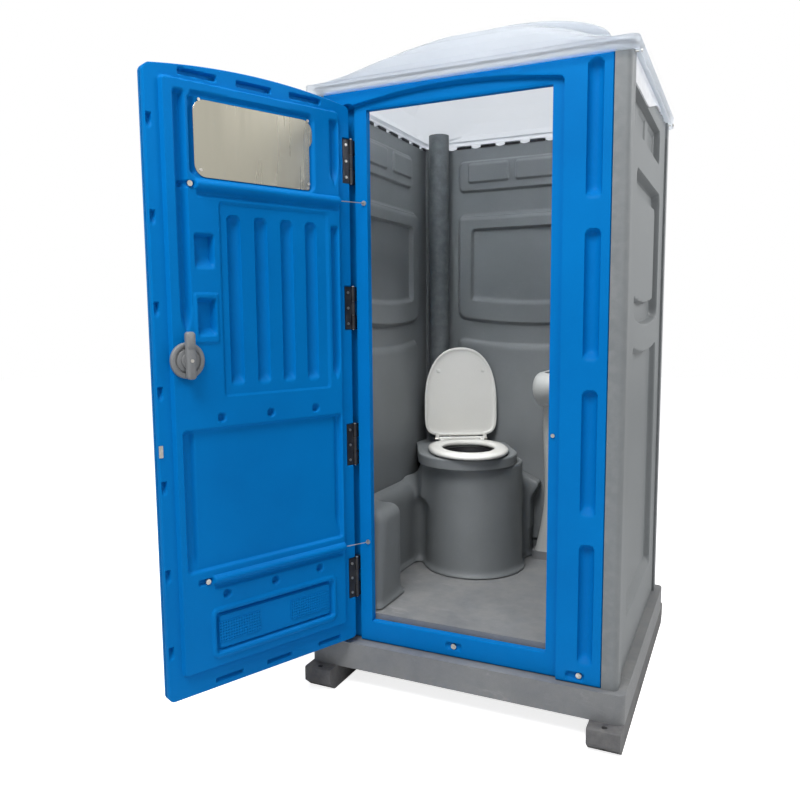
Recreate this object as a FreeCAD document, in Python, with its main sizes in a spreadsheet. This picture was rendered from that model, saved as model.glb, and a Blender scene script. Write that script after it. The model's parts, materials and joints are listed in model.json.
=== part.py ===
import FreeCAD, Part
import Sketcher

import math
import os
import re

from FreeCAD import Placement, Rotation, Vector

# A one-person portable toilet cabin in moulded plastic. X is the width, Y the
# depth with the door at -Y, Z is up, and the origin is on the ground under the
# middle of the cabin. The door stands open and the seat lid is up.

doc = FreeCAD.newDocument("portable_toilet_cabin")
sheet = doc.addObject("Spreadsheet::Sheet", "dims")

# Driving dimensions in millimetres and degrees
SIZES = [
    # cabin
    ("cabin_width", 1100),
    ("cabin_depth", 1040),
    ("skid_height", 80),
    ("ledge_height", 174),
    ("floor_height", 270),
    ("wall_top", 2062),
    ("wall_thick", 17),
    ("field_proud", 20),
    ("lower_proud", 12),
    ("bow_radius", 2000),
    ("bow_depth", 36),
    ("panel_half_x", 525),
    ("panel_half_y", 497),
    ("post_face", 49.5),
    ("post_side", 60),
    ("post_radius", 18),
    ("post_wall", 5),
    # roof
    ("rim_half_x", 541.5),
    ("rim_half_y", 511.5),
    ("rim_bottom", 2050),
    ("rim_height", 40),
    ("dome_rise", 215),
    ("crown_rise", 35),
    ("throat", 50),
    ("roof_wall", 5),
    # front frame
    ("opening_left", -322),
    ("opening_right", 297),
    ("opening_bottom", 250),
    ("opening_top", 1994),
    ("frame_depth", 42),
    ("seat_step", 15),
    ("rebate_right", 334),
    ("channel_left", -428),
    ("slot_x", 424),
    ("slot_width", 47),
    ("slot_length", 392),
    ("slot_pitch", 473),
    ("slot_top", 2043),
    # door, measured from the hinge axis
    ("hinge_x", -376),
    ("hinge_y", -490),
    ("open_angle", 113.5),
    ("door_start", 9),
    ("door_width", 706),
    ("door_bottom", 190),
    ("door_shoulder", 2004),
    ("door_arch", 28),
    ("door_radius", 2183),
    ("flange_face", 5),
    ("skin_split", -14),
    ("door_back", -36),
    ("raised_start", 58),
    ("raised_end", 664),
    ("raised_bottom", 258),
    ("raised_top", 1980),
    ("raised_face", 19),
    ("latch_u", 618),
    ("latch_z", 1199),
    ("cord_high", 1695),
    ("cord_low", 537),
    # toilet
    ("toilet_x", -200),
    ("toilet_y", 165),
    ("toilet_turn", 28),
    ("pedestal_bottom_radius", 203),
    ("pedestal_top_radius", 188),
    ("deck_bottom", 720),
    ("deck_thick", 40),
    ("deck_radius", 204),
    ("seat_half_width", 170),
    ("seat_back", 200),
    ("seat_axis", 782),
    ("lid_half_width", 160),
    ("lid_length", 402),
    ("seat_lean", 3),
    ("pipe_x", -425),
    ("pipe_y", 410),
    ("pipe_radius", 44),
    ("pipe_top", 2106),
    # wash basin
    ("basin_x", 256),
    ("basin_y", 300),
    ("basin_rim", 1090),
]
for row, (word, number) in enumerate(SIZES, start=1):
    sheet.set("A%d" % row, word)
    sheet.set("B%d" % row, str(number))
    sheet.setAlias("B%d" % row, word)
doc.recompute()

WORDS = {word for word, number in SIZES}
SKID_BOLTS = [(x, y) for x in (-533, 533) for y in (-430, -150, 150, 430)] + [(0, -250), (0, 250)]
FRAME_BOLTS = [(-17, 211), (405, 199)]
ROOF_SCREWS = [(x, y) for x in (-1, 1) for y in (-462, 462)]
HINGES = [409, 882, 1349, 1831]
subparts = []


# Helpers


def bound(text):
    """An expression in the sheet's words, with each word pointed at its cell."""
    return re.sub(r"[a-z_]+", lambda m: "dims." + m.group(0) if m.group(0) in WORDS else m.group(0), str(text))


def value(text):
    """What an expression in the sheet's words comes to now."""
    found = sheet.evalExpression(bound(text))
    return float(getattr(found, "Value", found))


def bind(thing, **sizes):
    for prop, text in sizes.items():
        thing.setExpression(prop.replace("_", "."), bound(text))
    return thing


def place(thing, x=0, y=0, z=0):
    for axis, text in zip("xyz", (x, y, z)):
        thing.setExpression("Placement.Base." + axis, bound(text))
    return thing


def turned(thing, x=0, y=0, z=0, yaw=0, roll=0):
    """Ties a whole placement to the sheet: a spot, a turn about Z and one about X."""
    spot = "create(<<vector>>; %s; %s; %s)" % (x, y, z)
    turn = "create(<<rotation>>; %s; 0; %s)" % (yaw, roll)
    thing.setExpression("Placement", bound("create(<<placement>>; %s; %s)" % (spot, turn)))
    return thing


def hang(thing):
    """Hangs a piece drawn with the closed door, from the hinge axis."""
    return turned(thing, "hinge_x", "hinge_y", 0, "-open_angle")


def sit(thing, z=0, roll=0):
    """Sets down a piece of the toilet that was drawn from its hinge axis, facing -Y."""
    x = "toilet_x - seat_back * sin(toilet_turn * 1 deg)"
    y = "toilet_y + seat_back * cos(toilet_turn * 1 deg)"
    return turned(thing, x, y, z, "toilet_turn", roll)


def box(x0, x1, y0, y1, z0, z1, name="block"):
    """A box between two corners, each given as an expression."""
    made = doc.addObject("Part::Box", name)
    bind(made, Length="(%s) - (%s)" % (x1, x0), Width="(%s) - (%s)" % (y1, y0), Height="(%s) - (%s)" % (z1, z0))
    return place(made, x0, y0, z0)


TURNS = {"z": Rotation(), "x": Rotation(Vector(0, 1, 0), 90), "y": Rotation(Vector(1, 0, 0), -90)}
AXES = {"x": Vector(1, 0, 0), "y": Vector(0, 1, 0), "z": Vector(0, 0, 1)}


def rod(x, y, z, radius, length, axis="z", name="rod"):
    """A cylinder from a point along +axis."""
    made = doc.addObject("Part::Cylinder", name)
    made.Placement = Placement(Vector(), TURNS[axis])
    bind(made, Radius=radius, Height=length)
    return place(made, x, y, z)


def cone(x, y, z, low, high, length, name="taper"):
    made = doc.addObject("Part::Cone", name)
    bind(made, Radius1=low, Radius2=high, Height=length)
    return place(made, x, y, z)


def rounded(solid, radius, along="z", pick=None):
    """Fillets the edges that run along an axis, or those that pick chooses."""
    doc.recompute()
    direction = AXES[along]
    rows = []
    for number, edge in enumerate(solid.Shape.Edges, start=1):
        if len(edge.Vertexes) < 2:
            continue
        span = edge.Vertexes[1].Point - edge.Vertexes[0].Point
        straight = span.Length > 0.001 and abs(abs(span.normalize() * direction) - 1) < 1e-6
        if straight and (pick is None or pick(edge.CenterOfMass)):
            rows.append((number, value(radius), value(radius)))
    made = doc.addObject("Part::Fillet", solid.Name + "_round")
    made.Base = solid
    made.Edges = rows
    return made


def softened(solid, radius, pick):
    """Fillets whichever edges pick chooses by their middle."""
    doc.recompute()
    edges = enumerate(solid.Shape.Edges, start=1)
    rows = [(number, value(radius), value(radius)) for number, edge in edges if pick(edge.CenterOfMass)]
    made = doc.addObject("Part::Fillet", solid.Name + "_soft")
    made.Base = solid
    made.Edges = rows
    return made


def common(name, *pieces):
    made = doc.addObject("Part::MultiCommon", name)
    made.Shapes = list(pieces)
    return made


def pocket(x0, x1, y0, y1, z0, z1, radius, along):
    """A round-cornered block, for a recess or a raised field."""
    return rounded(box(x0, x1, y0, y1, z0, z1), radius, along)


def bowed_field(half, y0, y1, low, high, radius, bow="none"):
    """A round-cornered field whose lower edge sags, or whose upper edge dips."""
    block = box("-(%s)" % half, half, y0, y1, low, high)
    arc = "bow_radius"
    if bow == "below":
        wheel = rod(0, "(%s) - 1" % y0, "%s + %s" % (low, arc), arc, "(%s) - (%s) + 2" % (y1, y0), "y")
        trim = box("-(%s) - 1" % half, "%s + 1" % half, "(%s) - 1" % y0, "(%s) + 1" % y1, "(%s) + 60" % low, high)
        return rounded(common("bowed", block, fuse("bow_below", wheel, trim)), radius, "y")
    if bow == "above":
        wheel = rod(0, "(%s) - 1" % y0, "%s - bow_depth + %s" % (high, arc), arc, "(%s) - (%s) + 2" % (y1, y0), "y")
        return rounded(cut("bow_above", block, wheel), radius, "y")
    return rounded(block, radius, "y")


def fuse(name, *pieces):
    made = doc.addObject("Part::MultiFuse", name)
    made.Shapes = list(pieces)
    made.Refine = True
    return made


def cut(name, base, *tools):
    made = doc.addObject("Part::Cut", name)
    made.Base = base
    made.Tool = tools[0] if len(tools) == 1 else fuse(name + "_tools", *tools)
    made.Refine = True
    return made


def group(name, pieces):
    """Separate solids that share one node."""
    made = doc.addObject("Part::Compound", name)
    made.Links = list(pieces)
    return made


def subpart(label, thing):
    thing.Label = label
    subparts.append(thing)
    return thing


def profile_body(name, plane, outline, holes=(), length="10", start="0"):
    """A PartDesign body: one closed sketch of lines and arcs, padded.

    outline and holes are lists of corners (a, b, radius), in expressions.
    """
    body = doc.addObject("PartDesign::Body", name)
    flat = next(f for f in body.Origin.OriginFeatures if f.Role == plane + "_Plane")
    sketch = body.newObject("Sketcher::SketchObject", name + "_sketch")
    sketch.AttachmentSupport = (flat, [""])
    sketch.MapMode = "FlatFace"
    sketch.setExpression("AttachmentOffset.Base.z", bound(start))
    for corners in [outline] + list(holes):
        draw(sketch, corners)
    pad = body.newObject("PartDesign::Pad", name + "_pad")
    pad.Profile = sketch
    pad.setExpression("Length", bound(length))
    return body


def draw(sketch, corners):
    """Adds a closed outline with rounded corners, pinned to the sheet."""
    count = len(corners)
    spots = [Vector(value(a), value(b), 0) for a, b, r in corners]
    radii = [value(r) for a, b, r in corners]
    ends = []
    for i, spot in enumerate(spots):
        before = (spots[i - 1] - spot).normalize()
        after = (spots[(i + 1) % count] - spot).normalize()
        if radii[i] <= 0:
            ends.append((spot, spot, None))
            continue
        half = before.getAngle(after) / 2
        run = radii[i] / math.tan(half)
        middle = spot + (before + after).normalize() * (radii[i] / math.sin(half))
        ends.append((spot + before * run, spot + after * run, middle))
    lines = []
    for i in range(count):
        lines.append(sketch.addGeometry(Part.LineSegment(ends[i][1], ends[(i + 1) % count][0])))
    for i, (start, stop, middle) in enumerate(ends):
        into, out = lines[i - 1], lines[i]
        if middle is None:
            sketch.addConstraint(Sketcher.Constraint("Coincident", into, 2, out, 1))
            pin(sketch, out, 1, corners[i])
            continue
        a = math.atan2(start.y - middle.y, start.x - middle.x)
        b = math.atan2(stop.y - middle.y, stop.x - middle.x)
        turn = (start - middle).cross(stop - middle).z > 0
        circle = Part.Circle(middle, Vector(0, 0, 1), radii[i])
        arc = sketch.addGeometry(Part.ArcOfCircle(circle, a, b) if turn else Part.ArcOfCircle(circle, b, a))
        sketch.addConstraint(Sketcher.Constraint("Tangent", into, 2, arc, 1 if turn else 2))
        sketch.addConstraint(Sketcher.Constraint("Tangent", out, 1, arc, 2 if turn else 1))
        at = sketch.addConstraint(Sketcher.Constraint("Radius", arc, radii[i]))
        sketch.setExpression("Constraints[%d]" % at, bound(corners[i][2]))
        corner = sketch.addGeometry(Part.Point(spots[i]), True)
        sketch.addConstraint(Sketcher.Constraint("PointOnObject", corner, 1, into))
        sketch.addConstraint(Sketcher.Constraint("PointOnObject", corner, 1, out))
        pin(sketch, corner, 1, corners[i])


def pin(sketch, item, point, corner):
    """Ties a point to its two coordinates in the sheet."""
    for kind, text in (("DistanceX", corner[0]), ("DistanceY", corner[1])):
        at = sketch.addConstraint(Sketcher.Constraint(kind, -1, 1, item, point, value(text)))
        sketch.setExpression("Constraints[%d]" % at, bound(text))


# Base, skids and what holds them


def base_pallet():
    """A rotomoulded tray: outer skirt, ledge for the walls and raised floor."""
    half_x, half_y = "cabin_width / 2", "cabin_depth / 2"
    skirt = rounded(box("-" + half_x, half_x, "-" + half_y, half_y, "skid_height", "ledge_height"), 22)
    floor = rounded(box(-492, 492, -452, 466, "skid_height", "floor_height"), 62)
    plinth = rounded(box(22, 484, 362, 456, "skid_height", "floor_height + 35"), 20)
    bores = [rod(x, y, "skid_height - 1", 6.1, 72) for x, y in SKID_BOLTS]
    bores += [rod(x, -453, z, 5.1, 24, "y") for x, z in FRAME_BOLTS]
    return subpart("base_pallet", cut("base_pallet", fuse("base_upper", skirt, floor, plinth), *bores))


def skid(label, inner, outer, reach):
    """A runner with a bevelled nose at each end, bolted up into the pallet."""
    nose = 34
    outline = [
        ("-(%s) + %d" % (reach, nose), 0, 0),
        ("%s - %d" % (reach, nose), 0, 0),
        (reach, 30, 6),
        (reach, "skid_height", 6),
        ("-(%s)" % reach, "skid_height", 6),
        ("-(%s)" % reach, 30, 6),
    ]
    body = profile_body(label + "_body", "YZ", outline, length=outer - inner, start=inner)
    bores = []
    if label != "skid_centre":
        middle = (inner + outer) / 2
        bores += [rod(middle, "%d * (%s - 24)" % (end, reach), -1, 9, "skid_height + 2") for end in (-1, 1)]
    for x, y in SKID_BOLTS:
        if inner < x < outer:
            bores += [rod(x, y, -1, 6.1, "skid_height + 2"), rod(x, y, -1, 11, 21)]
    return subpart(label, cut(label, body, *bores))


def skid_bolts():
    """Hex bolts, heads up inside the skids."""
    bolts = [fuse("skid_bolt", rod(x, y, 12, 6, 138), hexagon(x, y, 12, 9.5, 8)) for x, y in SKID_BOLTS]
    return subpart("skid_bolts", group("skid_bolts", bolts))


def hexagon(x, y, z, radius, height):
    made = doc.addObject("Part::Prism", "hexagon")
    bind(made, Circumradius=radius, Height=height)
    return place(made, x, y, z)


# Walls and posts


def corner_post(label, side_x, side_y):
    """A hollow upright with a rounded outer corner and a chamfered inner one."""

    def corners(inset):
        face, side = "panel_half_x - post_face", "panel_half_y - post_side"
        spots = [
            ("%s + %s" % (face, inset), "panel_half_y - %s" % inset, 0),
            ("panel_half_x - %s" % inset, "panel_half_y - %s" % inset, "post_radius - %s" % inset),
            ("panel_half_x - %s" % inset, "%s + %s" % (side, inset), 0),
            ("panel_half_x - 30 + %s * 0.6" % inset, "%s + %s" % (side, inset), 0),
            ("%s + %s" % (face, inset), "panel_half_y - 41 + %s * 0.6" % inset, 0),
        ]
        return [("%d * (%s)" % (side_x, a), "%d * (%s)" % (side_y, b), r) for a, b, r in spots]

    body = profile_body(
        label + "_body", "XY", corners(0), [corners("post_wall")], "wall_top - ledge_height", "ledge_height"
    )
    x = "panel_half_x - 12" if side_x > 0 else "-(panel_half_x + 1)"
    return subpart(label, cut(label, body, rod(x, side_y * 462, "rim_bottom + 6", 2.6, 13, "x")))


def moulded_wall(label, half_width, along, band, panels):
    """A wall panel with its three moulded fields and the dips along its top.

    It is built with its inside at -Y and then turned into place. Each field
    stands proud inside and is hollow on the outside, as in a moulded sheet.
    band is the upper field's two ends, and panels are the middles in it.
    """
    plate = box("-(%s)" % half_width, half_width, 0, "wall_thick", "ledge_height", "wall_top")
    shell = 8
    # half width, bottom, top, corner radius, bowed edge, how far it stands proud
    fields = [
        ("%s - 118" % half_width, 1276, 1778, 40, "below", "field_proud"),
        ("%s - 118" % half_width, 320, 1240, 40, "above", "lower_proud"),
    ]
    raised = [bowed_field(half, "-" + proud, 1, low, high, r, bow) for half, low, high, r, bow, proud in fields]
    hollow = [
        bowed_field("%s - %d" % (half, shell), "%d - %s" % (shell, proud), "wall_thick + 1", low + shell, high - shell, r - shell, bow)
        for half, low, high, r, bow, proud in fields
    ]
    left, right = band
    raised.append(pocket(left, right, "-lower_proud", 1, 1862, 2000, 24, "y"))
    hollow.append(
        pocket(left + shell, right - shell, "%d - lower_proud" % shell, "wall_thick + 1", 1862 + shell, 2000 - shell, 16, "y")
    )
    for middle in panels:
        raised.append(pocket(middle - 94, middle + 94, "-lower_proud - 7", 1, 1902, 1985, 14, "y"))
        hollow.append(pocket(middle - 86, middle + 86, "1 - lower_proud", "wall_thick + 1", 1910, 1977, 8, "y"))
    window = bowed_field("%s - 184" % half_width, "-field_proud - 1", -1, 1366, 1704, 22, "below")
    backing = bowed_field("%s - 176" % half_width, -1, 6, 1356, 1712, 28, "below")
    dips = [rod(x, -30, "wall_top + 30", 40, 60, "y") for x in range(-385, 386, 110)]
    skin = cut("wall_shell", fuse("wall_raised", plate, *raised), *hollow)
    framed = cut("wall_window", fuse("wall_backed", skin, backing), window, *dips)
    turns = {"rear": 0, "right": -90, "left": 90}
    spots = {
        "rear": (0, "panel_half_y - 8 - wall_thick"),
        "right": ("panel_half_x - 8 - wall_thick", 0),
        "left": ("-(panel_half_x - 8 - wall_thick)", 0),
    }
    framed.Placement = Placement(Vector(), Rotation(Vector(0, 0, 1), turns[along]))
    return subpart(label, place(framed, *spots[along]))


# Roof


def rounded_rectangle(half_x, half_y, radius, z):
    """A closed wire of four lines and four quarter arcs."""
    lean = radius * (1 - math.sqrt(0.5))
    edges = []
    for sx, sy in ((1, 1), (-1, 1), (-1, -1), (1, -1)):
        ends = [Vector(sx * half_x, sy * (half_y - radius), z), Vector(sx * (half_x - radius), sy * half_y, z)]
        if sx * sy < 0:
            ends.reverse()
        middle = Vector(sx * (half_x - lean), sy * (half_y - lean), z)
        if edges:
            edges.append(Part.LineSegment(edges[-1].EndPoint, ends[0]))
        edges.append(Part.Arc(ends[0], middle, ends[1]))
    edges.append(Part.LineSegment(edges[-1].EndPoint, edges[0].StartPoint))
    return Part.Wire([edge.toShape() for edge in edges])


def dome_solid(half_x, half_y, base, rise):
    """Sections of a shallow dome, squarish at the rim and round at the crown."""
    wires = []
    for level in (0.0, 0.12, 0.3, 0.5, 0.7, 0.86, 0.96):
        share = level ** (1 / 0.6)
        reach = math.sqrt(1 - share)
        corner = math.sqrt(1 - math.sqrt(share))
        radius = max(0.06, min(0.96 * reach, (reach - corner) / (1 - math.sqrt(0.5)))) * half_y
        wires.append(rounded_rectangle(reach * half_x, reach * half_y, min(radius, reach * half_y * 0.97), base + rise * level))
    return Part.makeLoft(wires, True, True)


def roof():
    """The translucent roof: rim band, inner flange, dome and raised crown."""
    half_x, half_y = value("rim_half_x"), value("rim_half_y")
    low, high, wall = value("rim_bottom"), value("rim_bottom + rim_height"), value("roof_wall")
    rise, crown = value("dome_rise"), value("crown_rise")

    throat_x, throat_y = half_x - value("throat"), half_y - value("throat")
    seat = value("wall_top")

    def crown_solid(inset):
        oval = Part.makeSphere(1.0)
        stretch = FreeCAD.Matrix()
        stretch.scale(Vector(380 - inset, 180 - inset, crown + rise * 0.16 - inset * 0.5))
        return oval.transformGeometry(stretch).translated(Vector(46, 10, high + rise * 0.84))

    def slab(x, y, radius, z0, z1):
        return Part.Face(rounded_rectangle(x, y, radius, z0)).extrude(Vector(0, 0, z1 - z0))

    shell = slab(half_x, half_y, 24, low, high).fuse(dome_solid(half_x - 12, half_y - 12, high - 1, rise))
    shell = shell.fuse(crown_solid(0)).cut(dome_solid(half_x - 12 - wall, half_y - 12 - wall, high - 1 - wall, rise))
    shell = shell.cut(slab(half_x - wall, half_y - wall, 20, low - 1, seat))
    shell = shell.cut(slab(throat_x, throat_y, 20, seat - 1, high + 1)).cut(crown_solid(wall))
    for x, y in ROOF_SCREWS:
        shell = shell.cut(Part.makeCylinder(2.6, 40, Vector(x * half_x - x * 20 - 20, y, low + 6), Vector(1, 0, 0)))
    made = doc.addObject("Part::Feature", "roof")
    made.Shape = shell.removeSplitter()
    return subpart("roof", made)


def roof_screws():
    """Pan heads on the rim band, driven sideways into the corner posts."""
    screws = []
    for x, y in ROOF_SCREWS:
        outer = "%d * rim_half_x" % x
        z = "rim_bottom + 6"
        if x > 0:
            screws.append(fuse("roof_screw", rod(outer + " - 25", y, z, 2.5, 26, "x"), rod(outer, y, z, 5, 3, "x")))
        else:
            screws.append(fuse("roof_screw", rod(outer + " - 1", y, z, 2.5, 26, "x"), rod(outer + " - 3", y, z, 5, 3, "x")))
    return subpart("roof_screws", group("roof_screws", screws))


def rim_skirt(label, side):
    """The thin white flap that hangs under the rim along one side wall."""
    outline = [
        (-435, "rim_bottom + 12", 0),
        (-435, "rim_bottom - 62", 0),
        (-110, "rim_bottom - 60", 300),
        (120, "rim_bottom", 300),
        (210, "rim_bottom", 0),
        (210, "rim_bottom + 12", 0),
    ]
    start = 517.2 if side > 0 else -521.7
    return subpart(label, profile_body(label, "YZ", outline, length=4.5, start=start))


# Front frame


def door_wheel(extra, x, y0, y1):
    """The big cylinder whose top gives the shallow arch of the door head."""
    radius = "door_radius + %s" % extra
    return rod(x, y0, "door_shoulder + door_arch - door_radius", radius, "(%s) - (%s)" % (y1, y0), "y")


def front_frame():
    """The moulded door frame: seat, hinge channel, opening and side slots."""
    front, back, seat = "-panel_half_y", "-panel_half_y + frame_depth", "-panel_half_y + seat_step"
    plate = box(-474.5, 474.5, front, back, "ledge_height + 1", "wall_top")
    opening = rounded(
        box("opening_left", "opening_right", front + " - 1", back + " + 1", "opening_bottom", "opening_top"), 10, "y"
    )
    middle = "hinge_x + (door_start + door_width) / 2"
    rebate = rounded(
        common(
            "rebate",
            box("channel_left", "rebate_right", front + " - 1", seat, 100, "wall_top"),
            door_wheel(6, middle, front + " - 2", seat + " + 1"),
        ),
        30,
        "y",
    )
    channel = box("channel_left", "hinge_x + 9", front + " - 1", front + " + 32", 100, "door_shoulder + 14")
    tools = [opening, rebate, channel]
    for number in range(4):
        top = "slot_top - %d * slot_pitch" % number
        left, right = "slot_x - slot_width / 2", "slot_x + slot_width / 2"
        bottom = top + " - slot_length"
        tools.append(pocket(left, right, front + " - 1", front + " + 18", bottom, top, "slot_width / 2 - 0.5", "y"))
    tools.append(pocket(364, 424, front + " - 1", front + " + 12", 184, 214, 14.5, "y"))
    tools.append(pocket(-45, 12, seat + " - 1", seat + " + 10", 198, 226, 13.5, "y"))
    tools += [rod(x, front, z, 5.1, 60, "y") for x, z in FRAME_BOLTS]
    tools.append(rod("opening_right + 14", seat + " - 1", 951, 5.1, 40, "y"))
    for z in ("cord_high", "cord_low"):
        tools.append(rod("opening_left - 12", seat + " - 1", z, 4.1, 40, "y"))
        tools.append(rod("opening_left - 12", seat + " - 1", z, 11, 7, "y"))
    for z in HINGES:
        tools += [rod("hinge_x - 34", front, spot, 2.1, 60, "y") for spot in leaf_holes(z)]
    return subpart("front_frame", cut("front_frame", plate, *tools))


def leaf_holes(z):
    return (z - 52, z, z + 52)


def frame_bolts():
    """Two hex bolts through the sill into the pallet."""
    (x0, z0), (x1, z1) = FRAME_BOLTS
    low = fuse("sill_bolt", rod(x0, -472, z0, 5, 40, "y"), rod(x0, -478, z0, 9, 6, "y"))
    side = fuse("side_bolt", rod(x1, -485, z1, 5, 53, "y"), rod(x1, -491, z1, 9, 6, "y"))
    return subpart("frame_bolts", group("frame_bolts", [low, side]))


def strike_stud():
    """The metal stud in the jamb beside the latch."""
    x, seat = "opening_right + 14", "-panel_half_y + seat_step"
    stud = fuse("stud", rod(x, seat, 951, 5, "frame_depth - seat_step", "y"), rod(x, seat + " - 2.4", 951, 6, 2.4, "y"))
    return subpart("strike_stud", stud)


def cord_anchors():
    """Eye bolts in the hinge side jamb that hold the ends of the closer cords."""
    x, seat, back = "opening_left - 12", "-panel_half_y + seat_step", "-panel_half_y + frame_depth"
    bolts = []
    for z in ("cord_high", "cord_low"):
        shank = rod(x, seat + " + 5", z, 4, "frame_depth - seat_step - 4", "y")
        bolts.append(fuse("cord_anchor", shank, rod(x, seat + " - 1.5", z, 8, 7.5, "y"), rod(x, back, z, 7, 6, "y")))
    return subpart("cord_anchors", group("cord_anchors", bolts))


# Door, drawn closed from the hinge axis: X along the door, Y into the cabin


VENTS = [(405, 542), (139, 285)]
FLANGE_POCKETS = [1852, 1593, 1342, 1104, 833, 572, 339]


def vent_slots(y0, y1):
    slots = []
    for left, right in VENTS:
        slots += [box(u, u + 5, y0, y1, 346, 392) for u in range(left + 4, right - 8, 12)]
    return slots


def door_blank(y0, y1):
    middle = "(door_start + door_width) / 2"
    block = box("door_start", "door_width", y0, y1, "door_bottom", "door_shoulder + door_arch")
    return rounded(common("door_blank", block, door_wheel(0, middle, "(%s) - 1" % y0, "(%s) + 1" % y1)), 20, "y")


def door_inner_panel():
    """The inner skin: flange, raised field and all that is moulded into it."""
    face = "raised_face"
    raised = pocket("raised_start", "raised_end", 4, face, "raised_bottom", "raised_top", 14, "y")
    ridges = [rod(62, face, "cord_high", 14, 512, "x"), rod(62, face, "cord_low", 14, 500, "x")]
    body = fuse("inner_blank", door_blank("skin_split", "flange_face"), raised, *ridges)
    cavity = box("raised_start + 8", "raised_end - 9", "skin_split - 1", 3, "raised_bottom + 8", "raised_top - 8")

    def recess(u0, u1, z0, z1, radius, depth):
        return pocket(u0, u1, "raised_face - %s" % depth, "raised_face + 16", z0, z1, radius, "y")

    tools = [
        cavity,
        recess(157, 572, 1714, 1955, 40, 10),
        recess(585, 622, 1262, 1945, 12, 10),
        recess(72, 100, 1751, 1945, 10, 10),
        recess(520, 580, 1458, 1560, 8, 12),
        recess(520, 580, 1262, 1380, 8, 12),
        recess(115, 496, 1088, 1650, 12, 3),
        recess(67, 640, 566, 1000, 18, 8),
        recess(112, 563, 300, 437, 16, 6),
    ]
    tools += [recess(u - 23, u + 23, 1113, 1617, 22.5, 11) for u in (177, 268, 360, 452)]
    tools.append(recess(72, 98, 1113, 1617, 12, 8))
    for z, spots in ((1025, (512, 342, 173)), (484, (514, 342, 170))):
        tools += [rod(u, "raised_face - 6", z, 13, 20, "y") for u in spots]
    tools += [box(690, 703, "flange_face - 6", "flange_face + 1", z - 22, z + 22) for z in FLANGE_POCKETS]
    tools += [box(u - 45, u + 45, "flange_face - 6", "flange_face + 1", 1988, 2001) for u in (508, 327, 125)]
    tools += [box(u - 45, u + 45, "flange_face - 6", "flange_face + 1", 206, 220) for u in (508, 327, 125)]
    tools += vent_slots(-15, 20)
    tools.append(rod("latch_u", -60, "latch_z", 9, 120, "y"))
    for z in HINGES:
        tools.append(box(8, 37, -2, 6, z - 73.5, z + 73.5))
        tools += [rod(22, -13, spot, 2.1, 20, "y") for spot in leaf_holes(z)]
    tools += [rod(u, 3.5, z, 2.1, 20, "y") for u, z in CORD_BOLTS]
    tools += [rod(u, 3.5, z, 2.1, 20, "y") for u, z in MIRROR_RIVETS]
    return subpart("door_inner_panel", hang(cut("door_inner_panel", body, *tools)))


CORD_BOLTS = [(590, "cord_high"), (578, "cord_low")]
MIRROR_RIVETS = [(u, z) for u in (180, 549) for z in (1738, 1931)]


def door_outer_panel():
    """The outer skin: soft edges, five flutes, an upper field and the vent."""
    blank = softened(door_blank("door_back", "skin_split"), 8, lambda spot: abs(spot.y - value("door_back")) < 0.01)

    def recess(u0, u1, z0, z1, radius, depth=8):
        return pocket(u0, u1, "door_back - 1", "door_back + %s" % depth, z0, z1, radius, "y")

    tools = [box(20, 695, "door_back + 12", "skin_split + 1", 205, 1985), recess(90, 610, 1330, 1930, 30)]
    tools += [recess(u - 40, u + 40, 420, 1060, 39.5) for u in (149.5, 253.5, 357.5, 461.5, 565.5)]
    tools.append(recess(112, 563, 300, 400, 16))
    tools += vent_slots(-40, -13)
    tools.append(rod("latch_u", -60, "latch_z", 9, 120, "y"))
    return subpart("door_outer_panel", hang(cut("door_outer_panel", blank, *tools)))


def mirror():
    """A steel mirror in the upper recess, on four rivets."""
    plate = pocket(161, 568, "raised_face - 10", "raised_face - 7", 1718, 1951, 36, "y")
    holes = [rod(u, 0, z, 2.1, 40, "y") for u, z in MIRROR_RIVETS]
    subpart("mirror", hang(cut("mirror_plate", plate, *holes)))
    rivets = [fuse("rivet", rod(u, 4, z, 2, 9, "y"), rod(u, 12, z, 4.5, 2, "y")) for u, z in MIRROR_RIVETS]
    subpart("mirror_rivets", hang(group("mirror_rivets", rivets)))


def door_closer():
    """Bolts on the door and the two elastic cords that pull it shut."""
    bolts = []
    for u, z in CORD_BOLTS:
        bolts.append(fuse("cord_bolt", rod(u, 4, z, 2, 16, "y"), rod(u, "raised_face", z, 8, 5, "y")))
    subpart("closer_bolts", hang(group("closer_bolts", bolts)))
    for label, z in (("closer_cord_upper", "cord_high"), ("closer_cord_lower", "cord_low")):
        turn, far = value("-open_angle"), value("raised_face + 7")
        door_end = Rotation(Vector(0, 0, 1), turn).multVec(Vector(61, far, 0)) + Vector(
            value("hinge_x"), value("hinge_y"), 0
        )
        jamb = Vector(value("opening_left - 12"), value("-panel_half_y + seat_step - 3.2"), 0)
        run = jamb - door_end
        cord = doc.addObject("Part::Cylinder", label)
        cord.Radius, cord.Height = 1.5, run.Length
        cord.Placement = Placement(door_end, Rotation(Vector(0, 0, 1), run))
        cord.setExpression("Placement.Base.z", bound(z))
        subpart(label, cord)


def keeper_plate():
    """The wear plate on the free edge of the door."""
    return subpart("keeper_plate", hang(pocket(694, 706, "flange_face", "flange_face + 2", 925, 960, 2, "y")))


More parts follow.
